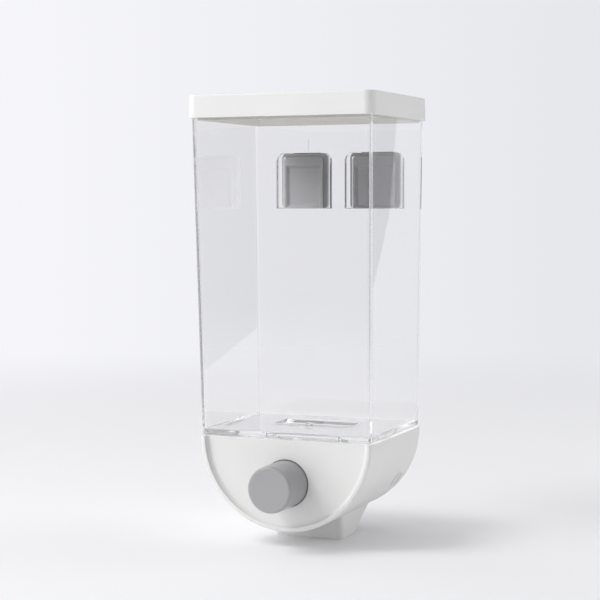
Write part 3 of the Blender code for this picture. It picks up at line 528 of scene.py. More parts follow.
# The hooks' colour is made lighter to make up for the lid's shade on them, which is painted light; their lighter
# edges are a painted highlight
hookLook = dict(greyLook, colour=(0.61, 0.61, 0.63), cloudColour=(0.585, 0.585, 0.605),
                edgeColour=(0.88, 0.88, 0.90), edgeAmount=0.95, edgeRadius=0.0007, roughness=0.35, smeared=0.42)
clearLook = {"tint": (0.996, 0.996, 0.997), "shadowTint": (0.96, 0.96, 0.965), "ior": 1.5, "roughness": 0.0,
             "smeared": 0.02, "patchScale": 18.0, "streakScale": 700.0, "grainScale": 300.0, "waveScale": 12.0,
             "waveShare": 0.9, "bump": 0.004, "bumpDepth": 0.00002, "deepest": 40}
sealFinishLook = {"colour": (0.74, 0.73, 0.70), "cloudColour": (0.70, 0.69, 0.66), "roughness": 0.5,
                  "grainRoughness": 0.62, "grainScale": 1500.0, "waveScale": 60.0, "waveShare": 0.3,
                  "bump": 0.25, "bumpDepth": 0.00006}
foamLook = {"colour": (0.84, 0.84, 0.82), "edgeColour": (0.68, 0.67, 0.65), "roughness": 0.78,
            "edgeRoughness": 0.92, "cellScale": 2200.0, "cellEdge": 0.25, "bump": 0.5, "bumpDepth": 0.0001}
springSteelLook = {"colour": (0.56, 0.56, 0.57), "tarnish": 0.72, "roughness": 0.26, "smeared": 0.42,
                   "patchScale": 320.0, "streakScale": 3200.0, "edgeColour": (0.8, 0.8, 0.8),
                   "edgeRadius": 0.0002, "edgeAmount": 0.6, "bump": 0.15, "bumpDepth": 0.00003}
screwSteelLook = dict(springSteelLook, colour=(0.50, 0.50, 0.51), roughness=0.32, smeared=0.48)

whitePlastic = plasticFinish("whitePlastic", whiteLook)
innerPlastic = plasticFinish("innerPlastic", innerLook)
hopperPlastic = plasticFinish("hopperPlastic", hopperLook)
lidPlastic = plasticFinish("lidPlastic", lidPlasticLook)
ringPlastic = plasticFinish("ringPlastic", ringLook)
greyPlastic = plasticFinish("greyPlastic", greyLook)
hookPlastic = plasticFinish("hookPlastic", hookLook)
clearPlastic = clearFinish("clearPlastic", clearLook)
softSeal = rubberFinish("softSeal", sealFinishLook)
foamPad = foamFinish("foamPad", foamLook)
springSteel = steelFinish("springSteel", springSteelLook)
screwSteel = steelFinish("screwSteel", screwSteelLook)
print("finishes made")


# Camera and light

cameraLook = {"place": (0.37679, -0.90562, 0.20622), "yaw": 22.86, "pitch": 3.53, "roll": -0.11, "lens": 96.9,
              "film": 36, "near": 0.05, "far": 30}
lampWarmth = (1.0, 0.995, 0.985)
lampLooks = {
    "key": {"place": (-1.0, -0.85, 1.35), "aim": (0, 0, 0.12), "side": 0.8, "watts": 13.9,
            "colour": lampWarmth, "inGloss": True},
    "low": {"place": (-1.3, -1.1, 0.45), "aim": (0, 0, 0.12), "side": 0.8, "watts": 3.0,
            "colour": lampWarmth, "inGloss": True},
    "fill": {"place": (1.3, 0.8, 0.5), "aim": (0, 0, 0.15), "side": 0.9, "watts": 6.6,
             "colour": (1.0, 1.0, 1.0), "inGloss": False}}
domeLook = {"back": 0.37, "front": 0.18, "up": 0.46, "leftSide": 0.87, "blue": 1.01}
stageLook = {"left": (0.913, 0.913, 0.956), "right": (0.80, 0.807, 0.843), "span": 0.16,
             "room": (0.22, 0.22, 0.225), "roomFrom": 0.15, "roomTo": 0.55,
             "card": (0.5, 0.5, 0.5), "cardEdges": ((19.62, 0.05), (19.445, 0.214)), "cardSoft": 0.001,
             "cardFrom": (0.057, -0.02, 0.165), "roomCentre": (0.0, 0.0, 0.15)}
floorLook = {"colour": (0.93, 0.93, 0.945), "cloud": 0.985, "cloudScale": 3.0, "roughness": 0.6, "specular": 0.15,
             "fadeStart": 0.35, "fadeEnd": 1.3, "radii": (0.25, 0.5, 0.8, 1.3, 2.5, 6.0), "steps": 96}
bounces = 64                       # enough for the tank's clear edges
yaw = math.radians(cameraLook["yaw"])
rightward = Vector((math.cos(yaw), math.sin(yaw), 0.0))
onward = Vector((-math.sin(yaw), math.cos(yaw), 0.0))


def camera(look):
    data = bpy.data.cameras.new("camera")
    data.lens = look["lens"]
    data.sensor_width = look["film"]
    data.clip_start = look["near"]
    data.clip_end = look["far"]
    shooter = inScene("camera", data)
    turn = Matrix.Rotation(math.radians(look["yaw"]), 4, "Z")
    tip = Matrix.Rotation(math.radians(90 - look["pitch"]), 4, "X")
    roll = Matrix.Rotation(math.radians(look["roll"]), 4, "Z")
    shooter.matrix_world = Matrix.Translation(look["place"]) @ turn @ tip @ roll
    bpy.context.scene.camera = shooter


def lamp(name, look):
    # No lamp is seen through clear plastic, which keeps bright specks out of its edges
    data = bpy.data.lights.new(name, "AREA")
    data.shape = "RECTANGLE"
    data.size = data.size_y = look["side"]
    data.energy = look["watts"]
    data.color = look["colour"]
    light = inScene(name, data)
    light.visible_glossy = look["inGloss"]
    light.visible_transmission = False
    towards = Vector(look["aim"]) - Vector(look["place"])
    turn = towards.to_track_quat("-Z", "Y").to_matrix().to_4x4()
    light.matrix_world = Matrix.Translation(look["place"]) @ turn


def backdropToneGroup(look):
    # The backdrop's colour in a direction: pale, and a little greyer towards the right
    group, given, made = newGroup("backdropTone", {"Vector": None, "Left Color": look["left"],
                                                   "Right Color": look["right"]}, ("Color",))
    across = vectorMath(group, "DOT_PRODUCT", given["Vector"], rightward)
    share = ranged(group, across, -look["span"], look["span"], curve="LINEAR")
    feed(group, made, Color=blended(group, share, given["Left Color"], given["Right Color"]))
    return group


def greyCardGroup(look):
    # Mask of the directions, off to the right behind the object, in which reflections find something grey
    group, given, made = newGroup("greyCard", {"Vector": None, "Amount": 1.0}, ("Mask",))
    mask = given["Amount"]
    for degrees, lean in look["cardEdges"]:
        turn = math.radians(degrees)
        beyond = vectorMath(group, "DOT_PRODUCT", given["Vector"], (math.cos(turn), -math.sin(turn), lean))
        mask = product(group, mask, ranged(group, beyond, -look["cardSoft"], look["cardSoft"]))
    feed(group, made, Mask=mask)
    return group


backdropTone = backdropToneGroup(stageLook)
greyCard = greyCardGroup(stageLook)


def directionFrom(tree, place, origin):
    return vectorMath(tree, "NORMALIZE", vectorMath(tree, "SUBTRACT", place, origin))


def bouncedRays(tree):
    # Two masks: rays that left a shiny or clear surface, and those of them that were mirrored on the way.
    # Rays that only went straight through clear plastic aren't in the second
    path = addNode(tree, "ShaderNodeLightPath").outputs
    turns = arithmetic(tree, "SUBTRACT", path["Ray Depth"], path["Transmission Depth"])
    bounced = arithmetic(tree, "MAXIMUM", path["Is Glossy Ray"], path["Is Transmission Ray"])
    return bounced, product(tree, arithmetic(tree, "GREATER_THAN", turns, 0.5), bounced)


def cardOver(tree, look, colour, way, amount):
    mask = placed(tree, greyCard, {}, Vector=way, Amount=amount)["Mask"]
    return blended(tree, mask, colour, blended(tree, 1.0, colour, look["card"], "MULTIPLY"))


def studioWorld(look, dome):
    # The camera sees the backdrop, also straight through clear plastic. Mirrored rays find a dark room to the
    # sides and behind the camera, and a grey card to the right. Matt surfaces get a soft dome
    world = bpy.data.worlds.new("studio")
    bpy.context.scene.world = world
    world.use_nodes = True
    tree = world.node_tree
    way = addNode(tree, "ShaderNodeTexCoord").outputs["Generated"]
    sides = {"back": onward, "front": -onward, "up": Vector((0, 0, 1)), "leftSide": -rightward}
    brightness = 0.0
    for name, direction in sides.items():
        facing = arithmetic(tree, "MAXIMUM", vectorMath(tree, "DOT_PRODUCT", way, direction), 0.0)
        brightness = arithmetic(tree, "ADD", product(tree, facing, dome[name]), brightness)
    light = addNode(tree, "ShaderNodeCombineColor", Red=brightness, Green=brightness,
                    Blue=product(tree, brightness, dome["blue"])).outputs["Color"]
    tone = placed(tree, backdropTone, {}, Vector=way)["Color"]
    ahead = ranged(tree, vectorMath(tree, "DOT_PRODUCT", way, onward), look["roomFrom"], look["roomTo"])
    bounced, mirrored = bouncedRays(tree)
    pale = arithmetic(tree, "MAXIMUM", ahead, arithmetic(tree, "SUBTRACT", 1.0, mirrored))
    around = blended(tree, pale, look["room"], tone)
    around = cardOver(tree, look, around, way, product(tree, ahead, mirrored))
    colour = blended(tree, bounced, light, around)
    seen = addNode(tree, "ShaderNodeLightPath").outputs["Is Camera Ray"]
    feed(tree, tree.nodes["Background"], Color=blended(tree, seen, colour, tone), Strength=1.0)


def studioFloor(stage, look):
    # A round floor that turns into the backdrop's own colour away from the object
    shape = bmesh.new()
    rows = []
    last = 360 - 360 / look["steps"]
    for radius in look["radii"]:
        rows.append([shape.verts.new((x, y, 0)) for x, y in arc(0, 0, radius, 0, last, look["steps"] - 1)])
    shape.faces.new(rows[0])
    for inner, outer in zip(rows, rows[1:]):
        for index in range(len(inner)):
            after = (index + 1) % len(inner)
            shape.faces.new((inner[index], inner[after], outer[after], outer[index]))
    floor = objectFrom("floor", shape)
    for face in floor.data.polygons:
        if face.normal.z < 0:
            face.flip()
    finish, tree, shader, place = newFinish("paleFloor")
    cloudColour = tuple(look["cloud"] * part for part in look["colour"])
    cloud = noise(tree, place, look["cloudScale"], detail=2.0)
    feed(tree, shader, Base_Color=blended(tree, cloud, look["colour"], cloudColour),
         Roughness=look["roughness"], Specular_IOR_Level=look["specular"])
    fade = ranged(tree, vectorMath(tree, "LENGTH", place), look["fadeStart"], look["fadeEnd"])
    seenFrom = directionFrom(tree, place, cameraLook["place"])
    tint = placed(tree, backdropTone, {}, Vector=seenFrom)["Color"]
    mirrored = bouncedRays(tree)[1]
    ahead = vectorMath(tree, "DOT_PRODUCT", directionFrom(tree, place, stage["roomCentre"]), onward)
    behind = product(tree, ranged(tree, ahead, stage["roomTo"], stage["roomFrom"]), mirrored)
    tint = blended(tree, behind, tint, stage["room"])
    tint = cardOver(tree, stage, tint, directionFrom(tree, place, stage["cardFrom"]), mirrored)
    mixedSurface(tree, fade, shader, addNode(tree, "ShaderNodeEmission", {"Strength": 1.0}, Color=tint))
    floor.data.materials.append(finish)


camera(cameraLook)
studioWorld(stageLook, domeLook)
studioFloor(stageLook, floorLook)
for lampName, lampLook in lampLooks.items():
    lamp(lampName, lampLook)
bpy.context.scene.view_settings.view_transform = "Standard"
cycles = bpy.context.scene.cycles
cycles.max_bounces = bounces
cycles.transmission_bounces = bounces
cycles.glossy_bounces = bounces
cycles.transparent_max_bounces = bounces
print("camera and light set")


# Node trees for what repeats or follows a path

def newTree(name, inputs):
    tree = bpy.data.node_groups.new(name, "GeometryNodeTree")
    tree.is_modifier = True
    tree.interface.new_socket("Geometry", in_out="INPUT", socket_type="NodeSocketGeometry")
    for socketName, value in inputs.items():
        addSocket(tree, socketName, value)
    tree.interface.new_socket("Material", in_out="INPUT", socket_type="NodeSocketMaterial")
    tree.interface.new_socket("Geometry", in_out="OUTPUT", socket_type="NodeSocketGeometry")
    return tree, tree.nodes.new("NodeGroupInput").outputs, tree.nodes.new("NodeGroupOutput")


def closeTree(tree, geometry, given, made):
    plain = addNode(tree, "GeometryNodeRealizeInstances", Geometry=geometry).outputs["Geometry"]
    painted = addNode(tree, "GeometryNodeSetMaterial", Geometry=plain, Material=given["Material"])
    feed(tree, made, Geometry=painted.outputs["Geometry"])
    return tree


def setDown(tree, geometry, place, rotation=(0, 0, 0)):
    return addNode(tree, "GeometryNodeTransform", {"Rotation": rotation}, Geometry=geometry,
                   Translation=place).outputs["Geometry"]


def swept(tree, path, section, **settings):
    return addNode(tree, "GeometryNodeCurveToMesh", Curve=path, Profile_Curve=section, **settings).outputs["Mesh"]


treeSteps = {"wire": 14, "ringPath": 10, "ringSection": 4, "head": 40, "shank": 24, "thread": 20, "ridge": 6}
screwShares = {"crown": 0.75, "core": 0.8, "threadRun": 0.82, "threadStart": -0.86, "threadRadius": 0.84,
               "ridge": 0.155}     # of the head's radius, the shank's radius or the length


def springTree():
    # Wire wound round a line along Y from its start
    tree, given, made = newTree("wireSpring", {"Radius": 0.005, "Wire Radius": 0.0005, "Turns": 9.0,
                                               "Length": 0.027, "Start": None, "Steps": 40})
    path = addNode(tree, "GeometryNodeCurveSpiral", Resolution=given["Steps"], Rotations=given["Turns"],
                   Start_Radius=given["Radius"], End_Radius=given["Radius"], Height=given["Length"])
    section = addNode(tree, "GeometryNodeCurvePrimitiveCircle", {"Resolution": treeSteps["wire"]},
                      Radius=given["Wire Radius"])
    wire = swept(tree, path.outputs["Curve"], section.outputs["Curve"], Fill_Caps=True)
    return closeTree(tree, setDown(tree, wire, given["Start"], (math.radians(-90), 0, 0)), given, made)


def ringTree():
    # Seal: a rounded section carried round a rounded rectangle
    tree, given, made = newTree("sealRing", {"Width": 0.1, "Depth": 0.1, "Corner": 0.003, "Section Width": 0.002,
                                             "Section Height": 0.001, "Round": 0.0003, "Centre": None})

    def roundedOutline(width, height, corner, steps):
        sharp = addNode(tree, "GeometryNodeCurvePrimitiveQuadrilateral", Width=width, Height=height)
        return addNode(tree, "GeometryNodeFilletCurve", {"mode": "POLY", "Count": steps},
                       Curve=sharp.outputs["Curve"], Radius=corner).outputs["Curve"]

    path = roundedOutline(given["Width"], given["Depth"], given["Corner"], treeSteps["ringPath"])
    section = roundedOutline(given["Section Width"], given["Section Height"], given["Round"],
                             treeSteps["ringSection"])
    return closeTree(tree, setDown(tree, swept(tree, path, section), given["Centre"]), given, made)


def screwTree():
    # A cross-headed screw at every point, its head along the point's heading
    tree, given, made = newTree("crossScrews", {
        "Head Radius": 0.0021, "Head Height": 0.0013, "Shank Radius": 0.0011, "Length": 0.008,
        "Slot Width": 0.0006, "Slot Length": 0.0028, "Slot Depth": 0.0007, "Pitch": 0.0009})

    def scaled(name, factor):
        return product(tree, given[name], factor)

    def triple(x, y, z):
        return addNode(tree, "ShaderNodeCombineXYZ", X=x, Y=y, Z=z).outputs["Vector"]

    def raised(kind, height, **values):
        return setDown(tree, addNode(tree, kind, **values).outputs["Mesh"], triple(0, 0, height))

    half = scaled("Head Height", 0.5)
    disc = raised("GeometryNodeMeshCylinder", product(tree, half, 0.5), Vertices=treeSteps["head"],
                  Radius=given["Head Radius"], Depth=half)
    crown = raised("GeometryNodeMeshCone", half, Vertices=treeSteps["head"], Radius_Bottom=given["Head Radius"],
                   Radius_Top=scaled("Head Radius", screwShares["crown"]), Depth=half)
    head = addNode(tree, "GeometryNodeMeshBoolean", {"operation": "UNION", "solver": "EXACT"})
    tree.links.new(crown, head.inputs["Mesh 2"])
    tree.links.new(disc, head.inputs["Mesh 2"])
    deep = scaled("Slot Depth", 2.0)
    cross = addNode(tree, "GeometryNodeMeshBoolean", {"operation": "DIFFERENCE", "solver": "EXACT"})
    tree.links.new(head.outputs["Mesh"], cross.inputs["Mesh 1"])
    for x, y in (("Slot Length", "Slot Width"), ("Slot Width", "Slot Length")):
        block = raised("GeometryNodeMeshCube", given["Head Height"], Size=triple(given[x], given[y], deep))
        tree.links.new(block, cross.inputs["Mesh 2"])
    core = raised("GeometryNodeMeshCylinder", scaled("Length", -0.5), Vertices=treeSteps["shank"],
                  Radius=scaled("Shank Radius", screwShares["core"]), Depth=given["Length"])
    run = scaled("Length", screwShares["threadRun"])
    radius = scaled("Shank Radius", screwShares["threadRadius"])
    thread = addNode(tree, "GeometryNodeCurveSpiral", Resolution=treeSteps["thread"], Start_Radius=radius,
                     End_Radius=radius, Rotations=arithmetic(tree, "DIVIDE", run, given["Pitch"]), Height=run)
    ridge = addNode(tree, "GeometryNodeCurvePrimitiveCircle", {"Resolution": treeSteps["ridge"]},
                    Radius=scaled("Shank Radius", screwShares["ridge"]))
    wound = swept(tree, thread.outputs["Curve"], ridge.outputs["Curve"], Fill_Caps=True)
    wound = setDown(tree, wound, triple(0, 0, scaled("Length", screwShares["threadStart"])))
    whole = tree.nodes.new("GeometryNodeJoinGeometry")
    for part in (cross.outputs["Mesh"], core, wound):
        tree.links.new(part, whole.inputs["Geometry"])
    heading = addNode(tree, "GeometryNodeInputNamedAttribute", {"data_type": "FLOAT_VECTOR", "Name": "heading"})
    facing = addNode(tree, "FunctionNodeAlignRotationToVector", {"axis": "Z"},
                     Vector=heading.outputs["Attribute"])
    spread = addNode(tree, "GeometryNodeInstanceOnPoints", Points=given["Geometry"],
                     Instance=whole.outputs["Geometry"], Rotation=facing.outputs["Rotation"])
    return closeTree(tree, spread.outputs["Instances"], given, made)


def grownBy(tree, name, settings, finish, points=((0, 0, 0),), heading=None):
    # Runs a tree once over a few points and keeps the plain mesh
    seed = bpy.data.meshes.new(name)
    seed.from_pydata([Vector(point) for point in points], [], [])
    if heading is not None:
        ways = seed.attributes.new("heading", "FLOAT_VECTOR", "POINT")
        for item in ways.data:
            item.vector = heading
    piece = inScene(name, seed)
    step = piece.modifiers.new("grow", "NODES")
    step.node_group = tree
    values = {**settings, "Material": finish}
    for item in tree.interface.items_tree:
        if item.in_out == "INPUT" and item.name in values:
            step[item.identifier] = values[item.name]
    return applied(piece, step)


wireSpring = springTree()
sealRing = ringTree()
crossScrews = screwTree()
print("node trees made")


# Tank

tankLook = {"wall": 0.0020, "floor": 0.0036, "corner": 0.0032, "innerCorner": 0.0014, "bottomWidth": 0.1092,
            "bottomDepth": 0.0874, "rimRound": 0.0005, "footRound": 0.0024, "floorRound": 0.0010, "steps": 12,
            "floorSteps": 4, "rimSteps": 3, "footSteps": 8, "ribSteps": 4,
            "gateX": 0.0007, "gateY": 0.0020, "gateRadius": 0.0024, "gateRise": 0.00018, "gateSteps": 40,
            "ribX": -0.0199, "ribLow": 0.2376, "ribHigh": 0.2453, "ribWidth": 0.0005, "ribRise": 0.0003}
mouthLook = {"halfWidth": 0.0250, "backInset": 0.0190, "depth": 0.0280, "corner": 0.0050, "collar": 0.0016,
             "edgeRound": 0.0002, "edgeSteps": 4, "steps": 10}
pocketLook = {"centre": 0.0235, "width": 0.0370, "drop": 0.0185, "height": 0.0355, "rail": 0.0050, "bar": 0.0026,
              "corner": 0.0050, "slotDepth": 0.0029, "lipDepth": 0.0016, "lipWidth": 0.0035, "round": 0.0010,
              "root": 0.0008, "innerCorner": 0.0006, "steps": 8, "innerSteps": 3, "roundSteps": 4}
tabLook = {"backInset": 0.0490, "width": 0.0220, "thickness": 0.0016, "reach": 0.0055, "barb": 0.0012,
           "inset": 0.0045, "root": 0.0008, "catchDrop": 0.00335}
notchLook = {"centre": 0.0080, "width": 0.0066, "height": 0.0015, "depth": 0.0030, "steps": 3}


def tankBounds(height, inset=0.0):
    look = tankLook
    share = min((height - seam) / (skirtFoot - seam), 1)
    half = (look["bottomWidth"] + (tankHigh.x - tankLow.x - look["bottomWidth"]) * share) / 2 - inset
    depth = look["bottomDepth"] + (wallSide - tankLow.y - look["bottomDepth"]) * share
    return (-half, half, wallSide - depth + inset, wallSide - inset)


def tankRing(height, inset, corner):
    return level(roundedRectangle(*tankBounds(height, inset), corner, tankLook["steps"]), height)


def tankBody():
    look = tankLook
    rings = []
    for inset, rise in quarter(look["floorRound"], look["floorSteps"], outward=False):
        corner = max(look["innerCorner"] - inset, gap)
        rings.append(tankRing(seam + look["floor"] + rise, look["wall"] + inset, corner))
    rings.append(tankRing(skirtFoot, look["wall"], look["innerCorner"]))
    rim = tankHigh.z - look["rimRound"]
    for inset, rise in quarter(look["rimRound"], look["rimSteps"]):
        rings.append(tankRing(rim + rise, look["wall"] - inset, look["innerCorner"] + inset))
    for inset, rise in reversed(quarter(look["rimRound"], look["rimSteps"])):
        rings.append(tankRing(rim + rise, inset, look["corner"] - inset))
    rings.append(tankRing(skirtFoot, 0, look["corner"]))
    foot = seam + look["footRound"]
    for inset, rise in quarter(look["footRound"], look["footSteps"]):
        rings.append(tankRing(foot - rise, inset, look["corner"] - inset))
    return loft("tankShell", rings)


def pocketView(side, outerInset, rail, bar):
    # Frame open at its foot: up the outside, round the corners and down the inside
    look = pocketLook
    top = skirtFoot - look["drop"] - outerInset
    foot = skirtFoot - look["drop"] - look["height"] + outerInset
    left = side * look["centre"] - look["width"] / 2 + outerInset
    right = side * look["centre"] + look["width"] / 2 - outerInset
    corner = look["corner"] - outerInset
    points = [(right, foot)]
    points += arc(right - corner, top - corner, corner, 0, 90, look["steps"])
    points += arc(left + corner, top - corner, corner, 90, 180, look["steps"])
    points.append((left, foot))
    innerLeft = side * look["centre"] - look["width"] / 2 + rail
    innerRight = side * look["centre"] + look["width"] / 2 - rail
    innerTop = skirtFoot - look["drop"] - bar
    bend, steps = look["innerCorner"], look["innerSteps"]
    points.append((innerLeft, foot))
    points += arc(innerLeft + bend, innerTop - bend, bend, 180, 90, steps)
    points += arc(innerRight - bend, innerTop - bend, bend, 90, 0, steps)
    points.append((innerRight, foot))
    return points


def hookPocket(side):
    look = pocketLook
    slotFace = wallSide + look["slotDepth"]
    lipFace = slotFace + look["lipDepth"]
    lipRail = look["rail"] + look["lipWidth"]
    lipBar = look["bar"] + look["lipWidth"]
    rings = [upright(pocketView(side, 0, look["rail"], look["bar"]), wallSide - look["root"]),
             upright(pocketView(side, 0, look["rail"], look["bar"]), slotFace),
             upright(pocketView(side, 0, lipRail, lipBar), slotFace)]
    for inset, rise in quarter(look["round"], look["roundSteps"]):
        rings.append(upright(pocketView(side, inset, lipRail, lipBar), lipFace - look["round"] + rise))
    return loft("pocket", rings)


def snapTab(side):
    look = tabLook
    outer = tankLook["bottomWidth"] / 2 - look["inset"]
    inner = outer - look["thickness"]
    catch = seam - look["catchDrop"]
    view = [(outer, seam + look["root"]), (outer, seam - look["reach"]), (inner, seam - look["reach"]),
            (inner - look["barb"], catch - look["barb"]), (inner - look["barb"], catch), (inner, catch),
            (inner, seam + look["root"])]
    middle = wallSide - look["backInset"]
    rings = [[Vector((side * x, y, z)) for x, z in view]
             for y in (middle - look["width"] / 2, middle + look["width"] / 2)]
    return loft("tab", rings)


def gateMark():
    # The small disc that the moulding's gate leaves on the floor
    look = tankLook
    radius, rise = look["gateRadius"], look["gateRise"]
    depth = look["floor"] / 2
    profile = [(0, -rise), (radius - rise, -rise), (radius, 0), (radius, depth), (0, depth)]
    return stood(lathe("gate", profile, look["gateSteps"]), (look["gateX"], look["gateY"], seam + look["floor"]))


def wallRib():
    look = tankLook
    half = look["ribWidth"] / 2
    view = roundedRectangle(look["ribX"] - half, look["ribX"] + half, look["ribLow"], look["ribHigh"], half,
                            look["ribSteps"])
    return loft("rib", [upright(view, wallSide - look["wall"] / 2), upright(view, wallSide + look["ribRise"])])


def mouthBounds(margin=0.0):
    look = mouthLook
    back = wallSide - look["backInset"]
    return grown((-look["halfWidth"], look["halfWidth"], back - look["depth"], back), margin)


def mouthBore():
    # The tool for the mouth through floor and collar; it widens at the top to round the edge
    look = mouthLook
    rounding, steps = look["edgeRound"], look["steps"]
    floorTop = seam + tankLook["floor"]
    straight = roundedRectangle(*mouthBounds(), look["corner"], steps)
    rings = [level(straight, deckFoot), level(straight, floorTop - rounding)]
    for inset, rise in quarter(rounding, look["edgeSteps"], outward=False)[::-1]:
        widening = rounding - inset
        view = roundedRectangle(*mouthBounds(widening), look["corner"] + widening, steps)
        rings.append(level(view, floorTop - rise + gap / 20))
    widest = roundedRectangle(*mouthBounds(rounding), look["corner"] + rounding, steps)
    rings.append(level(widest, floorTop + gap * 3))
    return loft("bore", rings)


def pryNotch():
    look = notchLook
    half, front = look["width"] / 2, tankBounds(seam)[2]
    view = roundedRectangle(look["centre"] - half, look["centre"] + half, seam - look["height"],
                            seam + look["height"], gap, look["steps"])
    return loft("notch", [upright(view, front - gap), upright(view, front + look["depth"])])


def tank():
    look = mouthLook
    piece = tankBody()
    for side in (-1, 1):
        shaped(piece, snapTab(side), "UNION")
        shaped(piece, hookPocket(side), "UNION")
    collar = roundedRectangle(*mouthBounds(look["collar"]), look["corner"] + look["collar"], look["steps"])
    heights = (deckFoot + gap, seam + tankLook["floor"] / 2)
    shaped(piece, loft("collar", [level(collar, height) for height in heights]), "UNION")
    shaped(piece, mouthBore())
    shaped(piece, gateMark(), "UNION")
    shaped(piece, wallRib(), "UNION")
    shaped(piece, pryNotch())
    return dressed(piece, clearPlastic, "dispenser", ["tank"])


tank()
print("tank made")


# Lid, its inner ring and the seal

lidLook = {"wall": 0.0013, "top": 0.0024, "corner": 0.0060, "draft": 0.00028, "edge": 0.0011, "foot": 0.0004,
           "inside": 0.0008, "steps": 12, "insideSteps": 3, "footSteps": 3, "edgeSteps": 6}
plugLook = {"drop": 0.00125, "gap": 0.0006, "wall": 0.0012, "corner": 0.0030, "ledgeHeight": 0.0022,
            "ledgeWidth": 0.0010, "plateRise": 0.0043, "round": 0.0003, "steps": 8, "roundSteps": 3}


def lidRing(height, inset, corner):
    draft = lidLook["draft"] * (height - skirtFoot) / (lidHigh.z - skirtFoot)
    bounds = grown((lidLow.x, lidHigh.x, lidLow.y, lidHigh.y), -draft - inset)
    return level(roundedRectangle(*bounds, corner, lidLook["steps"]), height)


def lid():
    look = lidLook
    underside = lidHigh.z - look["top"]
    innerCorner = look["corner"] - look["wall"]
    rings = []
    for inset, rise in reversed(quarter(look["inside"], look["insideSteps"])):
        rings.append(lidRing(underside - look["inside"] + rise, look["wall"] + inset, innerCorner - inset))
    rings.append(lidRing(skirtFoot + look["foot"], look["wall"], innerCorner))
    for inset, rise in quarter(look["foot"], look["footSteps"]):
        rings.append(lidRing(skirtFoot + look["foot"] - rise, look["wall"] - inset, innerCorner + inset))
    for inset, rise in reversed(quarter(look["foot"], look["footSteps"])):
        rings.append(lidRing(skirtFoot + look["foot"] - rise, inset, look["corner"] - inset))
    for inset, rise in quarter(look["edge"], look["edgeSteps"]):
        rings.append(lidRing(lidHigh.z - look["edge"] + rise, inset, look["corner"] - inset))
    return dressed(loft("lid", rings), lidPlastic, "lid", ["lid_shell"])


def lidRingInside():
    # Ring that is hollow above and below its plate; the ledge at its foot is wider than the wall above
    look = plugLook
    low = skirtFoot - look["drop"]
    ledgeTop = low + look["ledgeHeight"]
    top = lidHigh.z - lidLook["top"] - gap
    outside = tankLook["wall"] + look["gap"]
    inside = look["ledgeWidth"] + look["wall"]
    plateFoot = low + look["plateRise"]
    views = [(inside, plateFoot + look["wall"]), (inside, top), (look["ledgeWidth"], top),
             (look["ledgeWidth"], ledgeTop)]
    edge = quarter(look["round"], look["roundSteps"])
    views += [(inset, ledgeTop - look["round"] + rise) for inset, rise in reversed(edge)]
    views += [(inset, low + look["round"] - rise) for inset, rise in edge]
    views += [(inside - look["round"] / 2, low), (inside, low + look["round"] / 2), (inside, plateFoot)]
    rings = []
    for inset, height in views:
        corner = max(look["corner"] - inset, look["wall"] / 2)
        left, right, front, back = tankBounds(skirtFoot - look["drop"], outside + inset)
        rings.append(level(roundedRectangle(left, right, front, back, corner, look["steps"]), height))
    return dressed(loft("lidInnerRing", rings), ringPlastic, "lid", ["lid_plug"])


sealLook = {"lidSection": 0.0010, "lidCorner": 0.0030, "tankSection": 0.0024, "throatSection": 0.0016,
            "corner": 0.0018, "round": 0.0003}


def seal(name, node, section, corner, body):
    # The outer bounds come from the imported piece; the corner is that of the outside
    low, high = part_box(node)
    size = high - low
    settings = {"Width": size.x - section, "Depth": size.y - section, "Corner": corner - section / 2,
                "Section Width": section, "Section Height": size.z, "Round": sealLook["round"],
                "Centre": tuple((low + high) / 2)}
    return dressed(grownBy(sealRing, name, settings, softSeal), softSeal, body, [node])


lid()
lidRingInside()
seal("lidSeal", "lid_seal", sealLook["lidSection"], sealLook["lidCorner"], "lid")
print("lid made")


# Wall hooks and pads

hookSizes = {"leadIn": 0.0048, "sideSlope": 0.0006, "border": 0.0006, "borderTop": 0.0005, "borderFoot": 0.0006,
             "recess": 0.0016, "recessSlope": 0.0018, "recessCorner": 0.0006, "corner": 0.0008, "slide": 0.0004,
             "plateInset": 0.0026, "plateCorner": 0.0030, "plate": 0.0024, "round": 0.00035, "padInset": 0.0006,
             "steps": 6, "roundSteps": 3, "padSteps": 2}


def hookBounds(side, rail, bar):
    pocket = pocketLook
    half = pocket["width"] / 2 - rail
    middle = side * pocket["centre"]
    top = skirtFoot - pocket["drop"]
    return (middle - half, middle + half, top - pocket["height"], top - bar - gap)


def hook(name, side, body, node):
    # From the recess in its face back to the plate on the wall
    look, pocket = hookSizes, pocketLook
    lip = pocket["lipWidth"]
    head = hookBounds(side, pocket["rail"] + look["slide"], pocket["bar"])
    neck = hookBounds(side, pocket["rail"] + lip + look["slide"], pocket["bar"] + lip)
    plate = hookBounds(side, look["plateInset"], 0)
    left, right, foot, top = head
    face = (left + look["sideSlope"], right - look["sideSlope"], foot, top - look["leadIn"])
    left, right, foot, top = face
    recess = (left + look["border"], right - look["border"], foot + look["borderFoot"], top - look["borderTop"])
    front = wallSide + gap
    back = wallSide + pocket["slotDepth"] - gap
    plateFront = wallSide + pocket["slotDepth"] + pocket["lipDepth"] + gap
    layers = ((grown(recess, -look["recessSlope"]), look["recessCorner"], front + look["recess"]),
              (recess, look["recessCorner"], front), (face, look["corner"], front), (head, look["corner"], back),
              (neck, look["corner"], back), (neck, look["corner"], plateFront),
              (plate, look["plateCorner"], plateFront), (plate, look["plateCorner"], plateFront + look["plate"]))
    rings = [upright(roundedRectangle(*bounds, corner, look["steps"]), depth) for bounds, corner, depth in layers]
    piece = rounded(loft(name, rings), look["round"], look["roundSteps"])
    dressed(piece, hookPlastic, body, [node])


